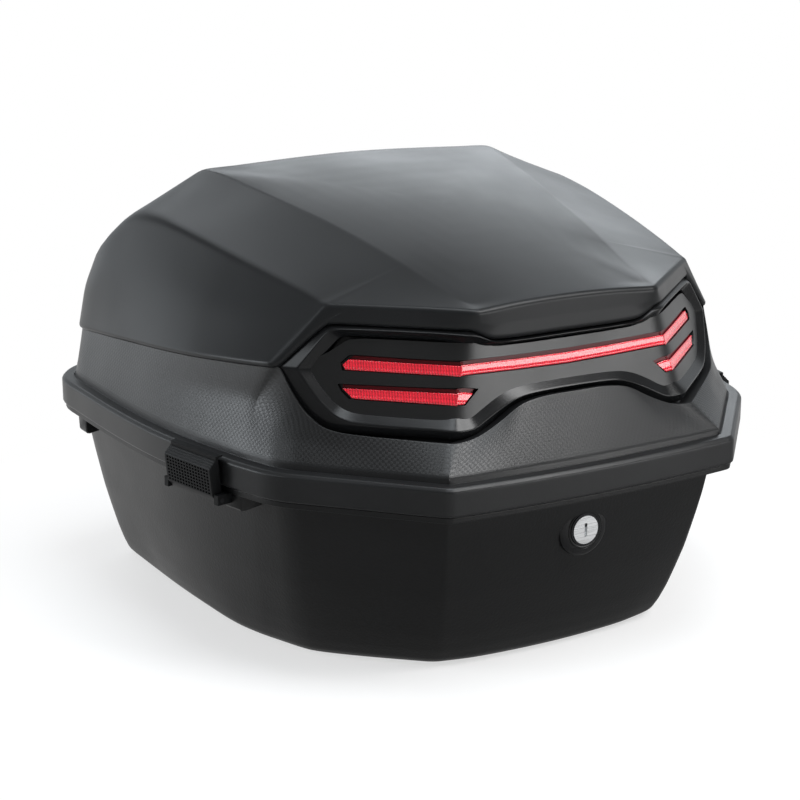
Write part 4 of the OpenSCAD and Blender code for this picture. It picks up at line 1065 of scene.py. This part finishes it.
def make_floor():
    """Floor: one square just under the case."""
    reach, drop = 6.0, 0.0005
    mesh = bpy.data.meshes.new("floor")
    corners = [(-reach, -reach, 0), (reach, -reach, 0), (reach, reach, 0), (-reach, reach, 0)]
    mesh.from_pydata(corners, [], [(0, 1, 2, 3)])
    floor = bpy.data.objects.new("floor", mesh)
    floor.location = (0, 0, -drop)
    bpy.context.scene.collection.objects.link(floor)
    mesh.materials.append(floor_finish())


def make_lamps(stage):
    """Lamps round the case, all turned to its middle."""
    centre = (0, 0, 0.17)
    area_lamp("key", (0.1, -0.25, 2.0), centre, (1.1, 1.1), stage.key_power, COOL)
    area_lamp("back_right", (1.28, 1.66, 1.04), centre, (1.25, 0.45), stage.back_power, COOL)
    area_lamp("back_top", (-0.2, 1.6, 1.5), centre, (1.1, 0.9), stage.top_power, COOL)
    area_lamp("back_left", (-1.0, 1.7, 0.35), centre, (0.9, 0.6), stage.rim_power, COOL)
    area_lamp("left", (-1.7, 0.85, 0.5), centre, (0.6, 0.7), stage.fill_power, COOL)
    area_lamp("left_high", (-1.5, 0.05, 1.15), centre, (0.5, 0.5), stage.high_power, COOL)
    area_lamp("right", (0.8, -1.08, 1.65), centre, (0.75, 0.95), stage.side_power)
    area_lamp("strip", (0.9, -1.5, 0.24), centre, (0.9, 0.36), stage.strip_power)


def make_camera():
    """Camera at the photograph's place: 15.73 degrees down and 30.43 degrees to the right."""
    scene = bpy.context.scene
    lens = bpy.data.cameras.new("camera")
    lens.lens, lens.sensor_width = 86.01, 36
    camera = bpy.data.objects.new("camera", lens)
    camera.location = (-0.6934, -1.1364, 0.5071)
    camera.rotation_euler = (math.radians(90 - 15.73), 0, math.radians(-30.43))
    scene.collection.objects.link(camera)
    scene.camera = camera


def make_stage(stage):
    """World, floor, lamps and camera."""
    bpy.context.scene.view_settings.view_transform = "Standard"
    make_world(stage.world_level)
    make_floor()
    make_lamps(stage)
    make_camera()


def floor_finish():
    """White floor: plain white near the case, where its shadow falls, and white background further out.

    In reflections it is dimmer close to the case's rear, as in the case's own shade.
    """
    material, tree, shader = new_finish("White Floor", (0.95, 0.95, 0.95), 0.9, 0.2)
    place = tree.nodes.new("ShaderNodeTexCoord")
    size = tree.nodes.new("ShaderNodeVectorMath")
    size.operation = "LENGTH"
    split = tree.nodes.new("ShaderNodeSeparateXYZ")
    for node in (size, split):
        tree.links.new(place.outputs["Object"], node.inputs[0])
    far = ramp(tree, size.outputs["Value"], 0.2, 0.46, 0.6, 1.0)
    path = tree.nodes.new("ShaderNodeLightPath")
    seen = maths(tree, "MAXIMUM", path.outputs["Is Camera Ray"], path.outputs["Is Transmission Ray"])
    white = tree.nodes.new("ShaderNodeEmission")
    shade = maths(tree, "MAXIMUM", ramp(tree, split.outputs[1], -0.15, 0.26, 0.36, 1.0),
                  ramp(tree, split.outputs[1], -0.46, -0.34, 0.75, 0.36))
    tree.links.new(maths(tree, "MAXIMUM", seen, shade), white.inputs["Color"])
    share = maths(tree, "MAXIMUM", maths(tree, "MULTIPLY", far, seen), path.outputs["Is Glossy Ray"])
    mix_shaders(tree, share, shader.outputs[0], white.outputs[0], tree.nodes["Material Output"])
    return material


# Add-on


class CaseLook(bpy.types.PropertyGroup):
    """Colours and pattern sizes of the case's finishes."""

    cover_colour: FloatVectorProperty(
        name="Cover", description="Colour of the lid's cover", subtype="COLOR",
        default=(0.0085, 0.0090, 0.0096))
    rim_colour: FloatVectorProperty(
        name="Rim", description="Colour of the lid's rim band", subtype="COLOR",
        default=(0.0080, 0.0083, 0.0088))
    wall_colour: FloatVectorProperty(
        name="Lower wall", description="Colour of the lid's woven wall", subtype="COLOR",
        default=(0.0085, 0.0088, 0.0092))
    tub_colour: FloatVectorProperty(
        name="Tub", description="Colour of the tub", subtype="COLOR",
        default=(0.0028, 0.0030, 0.0033))
    bezel_colour: FloatVectorProperty(
        name="Bezel", description="Colour of the reflector's bezel", subtype="COLOR",
        default=(0.0050, 0.0052, 0.0056))
    panel_colour: FloatVectorProperty(
        name="Panel", description="Colour of the reflector's panel", subtype="COLOR",
        default=(0.0045, 0.0047, 0.0049))
    clip_colour: FloatVectorProperty(
        name="Clips", description="Colour of the clips and hinges", subtype="COLOR",
        default=(0.0060, 0.0063, 0.0066))
    lens_colour: FloatVectorProperty(
        name="Lenses", description="Colour of the reflectors", subtype="COLOR",
        default=(0.82, 0.012, 0.034))
    weave_pitch: FloatProperty(
        name="Weave pitch", description="Spacing of the moulded weave", unit="LENGTH", default=0.0019)


class CaseStage(bpy.types.PropertyGroup):
    """Strengths of the studio's lamps."""

    key_power: FloatProperty(
        name="Key", description="Power of the lamp above", unit="POWER", default=26)
    back_power: FloatProperty(
        name="Back right", description="Power of the lamp behind, right", unit="POWER", default=7.5)
    top_power: FloatProperty(
        name="Back top", description="Power of the lamp behind, above", unit="POWER", default=6)
    rim_power: FloatProperty(
        name="Back left", description="Power of the lamp behind, left", unit="POWER", default=1.8)
    fill_power: FloatProperty(
        name="Left", description="Power of the lamp at the left", unit="POWER", default=11)
    high_power: FloatProperty(
        name="Left, high", description="Power of the lamp high at the left", unit="POWER", default=3)
    side_power: FloatProperty(
        name="Right", description="Power of the lamp at the right", unit="POWER", default=29)
    strip_power: FloatProperty(
        name="Strip", description="Power of the low strip at the right", unit="POWER", default=9)
    world_level: FloatProperty(
        name="World", description="Strength of the even light around", default=0.25)


class CASE_OT_finishes(bpy.types.Operator):
    """Make the finishes and give them to the CAD nodes that stay"""

    bl_idname = "case.finishes"
    bl_label = "Finishes"

    def execute(self, context):
        FINISH.update(build_finishes(context.scene.case_look))
        dress_nodes()
        return {"FINISHED"}


class CASE_OT_tub(bpy.types.Operator):
    """Make the tub"""

    bl_idname = "case.tub"
    bl_label = "Tub"

    def execute(self, context):
        make_tub()
        return {"FINISHED"}


class CASE_OT_lid(bpy.types.Operator):
    """Make the lid's shell and cover"""

    bl_idname = "case.lid"
    bl_label = "Lid"

    def execute(self, context):
        make_lid_shell()
        make_cover()
        return {"FINISHED"}


class CASE_OT_reflector(bpy.types.Operator):
    """Make the bezel, panel and lenses of the reflector unit"""

    bl_idname = "case.reflector"
    bl_label = "Reflector Unit"

    def execute(self, context):
        make_bezel()
        make_panel()
        make_lens("upper_lens", -155.7, 155.7, 3, 601)
        make_lens("left_lens", -152.9, -75.8, 1, 161)
        make_lens("right_lens", 75.8, 152.9, 1, 161)
        return {"FINISHED"}


class CASE_OT_clips(bpy.types.Operator):
    """Make the two snap clips"""

    bl_idname = "case.clips"
    bl_label = "Clips"

    def execute(self, context):
        make_clip(-1)
        make_clip(1)
        return {"FINISHED"}


class CASE_OT_lock(bpy.types.Operator):
    """Make the lock's rosette"""

    bl_idname = "case.lock"
    bl_label = "Lock"

    def execute(self, context):
        make_rosette()
        return {"FINISHED"}


class CASE_OT_stage(bpy.types.Operator):
    """Make the floor, lamps, world and camera"""

    bl_idname = "case.stage"
    bl_label = "Stage"

    def execute(self, context):
        make_stage(context.scene.case_stage)
        return {"FINISHED"}


OPERATORS = [CASE_OT_finishes, CASE_OT_tub, CASE_OT_lid, CASE_OT_reflector, CASE_OT_clips, CASE_OT_lock,
             CASE_OT_stage]


class CASE_PT_panel(bpy.types.Panel):
    """Lists the operators, colours and lamps"""

    bl_label = "Top Case"
    bl_space_type = "VIEW_3D"
    bl_region_type = "UI"
    bl_category = "Top Case"

    def draw(self, context):
        for operator in OPERATORS:
            self.layout.operator(operator.bl_idname)
        for group in (context.scene.case_look, context.scene.case_stage):
            for name in group.__annotations__:
                self.layout.prop(group, name)


CLASSES = [CaseLook, CaseStage, *OPERATORS, CASE_PT_panel]


def register():
    for cls in CLASSES:
        bpy.utils.register_class(cls)
    bpy.types.Scene.case_look = PointerProperty(type=CaseLook)
    bpy.types.Scene.case_stage = PointerProperty(type=CaseStage)


def unregister():
    del bpy.types.Scene.case_stage
    del bpy.types.Scene.case_look
    for cls in reversed(CLASSES):
        bpy.utils.unregister_class(cls)


def main():
    register()
    bpy.ops.case.finishes()
    bpy.ops.case.tub()
    bpy.ops.case.lid()
    bpy.ops.case.reflector()
    bpy.ops.case.clips()
    bpy.ops.case.lock()
    bpy.ops.case.stage()


if __name__ == "__main__":
    main()
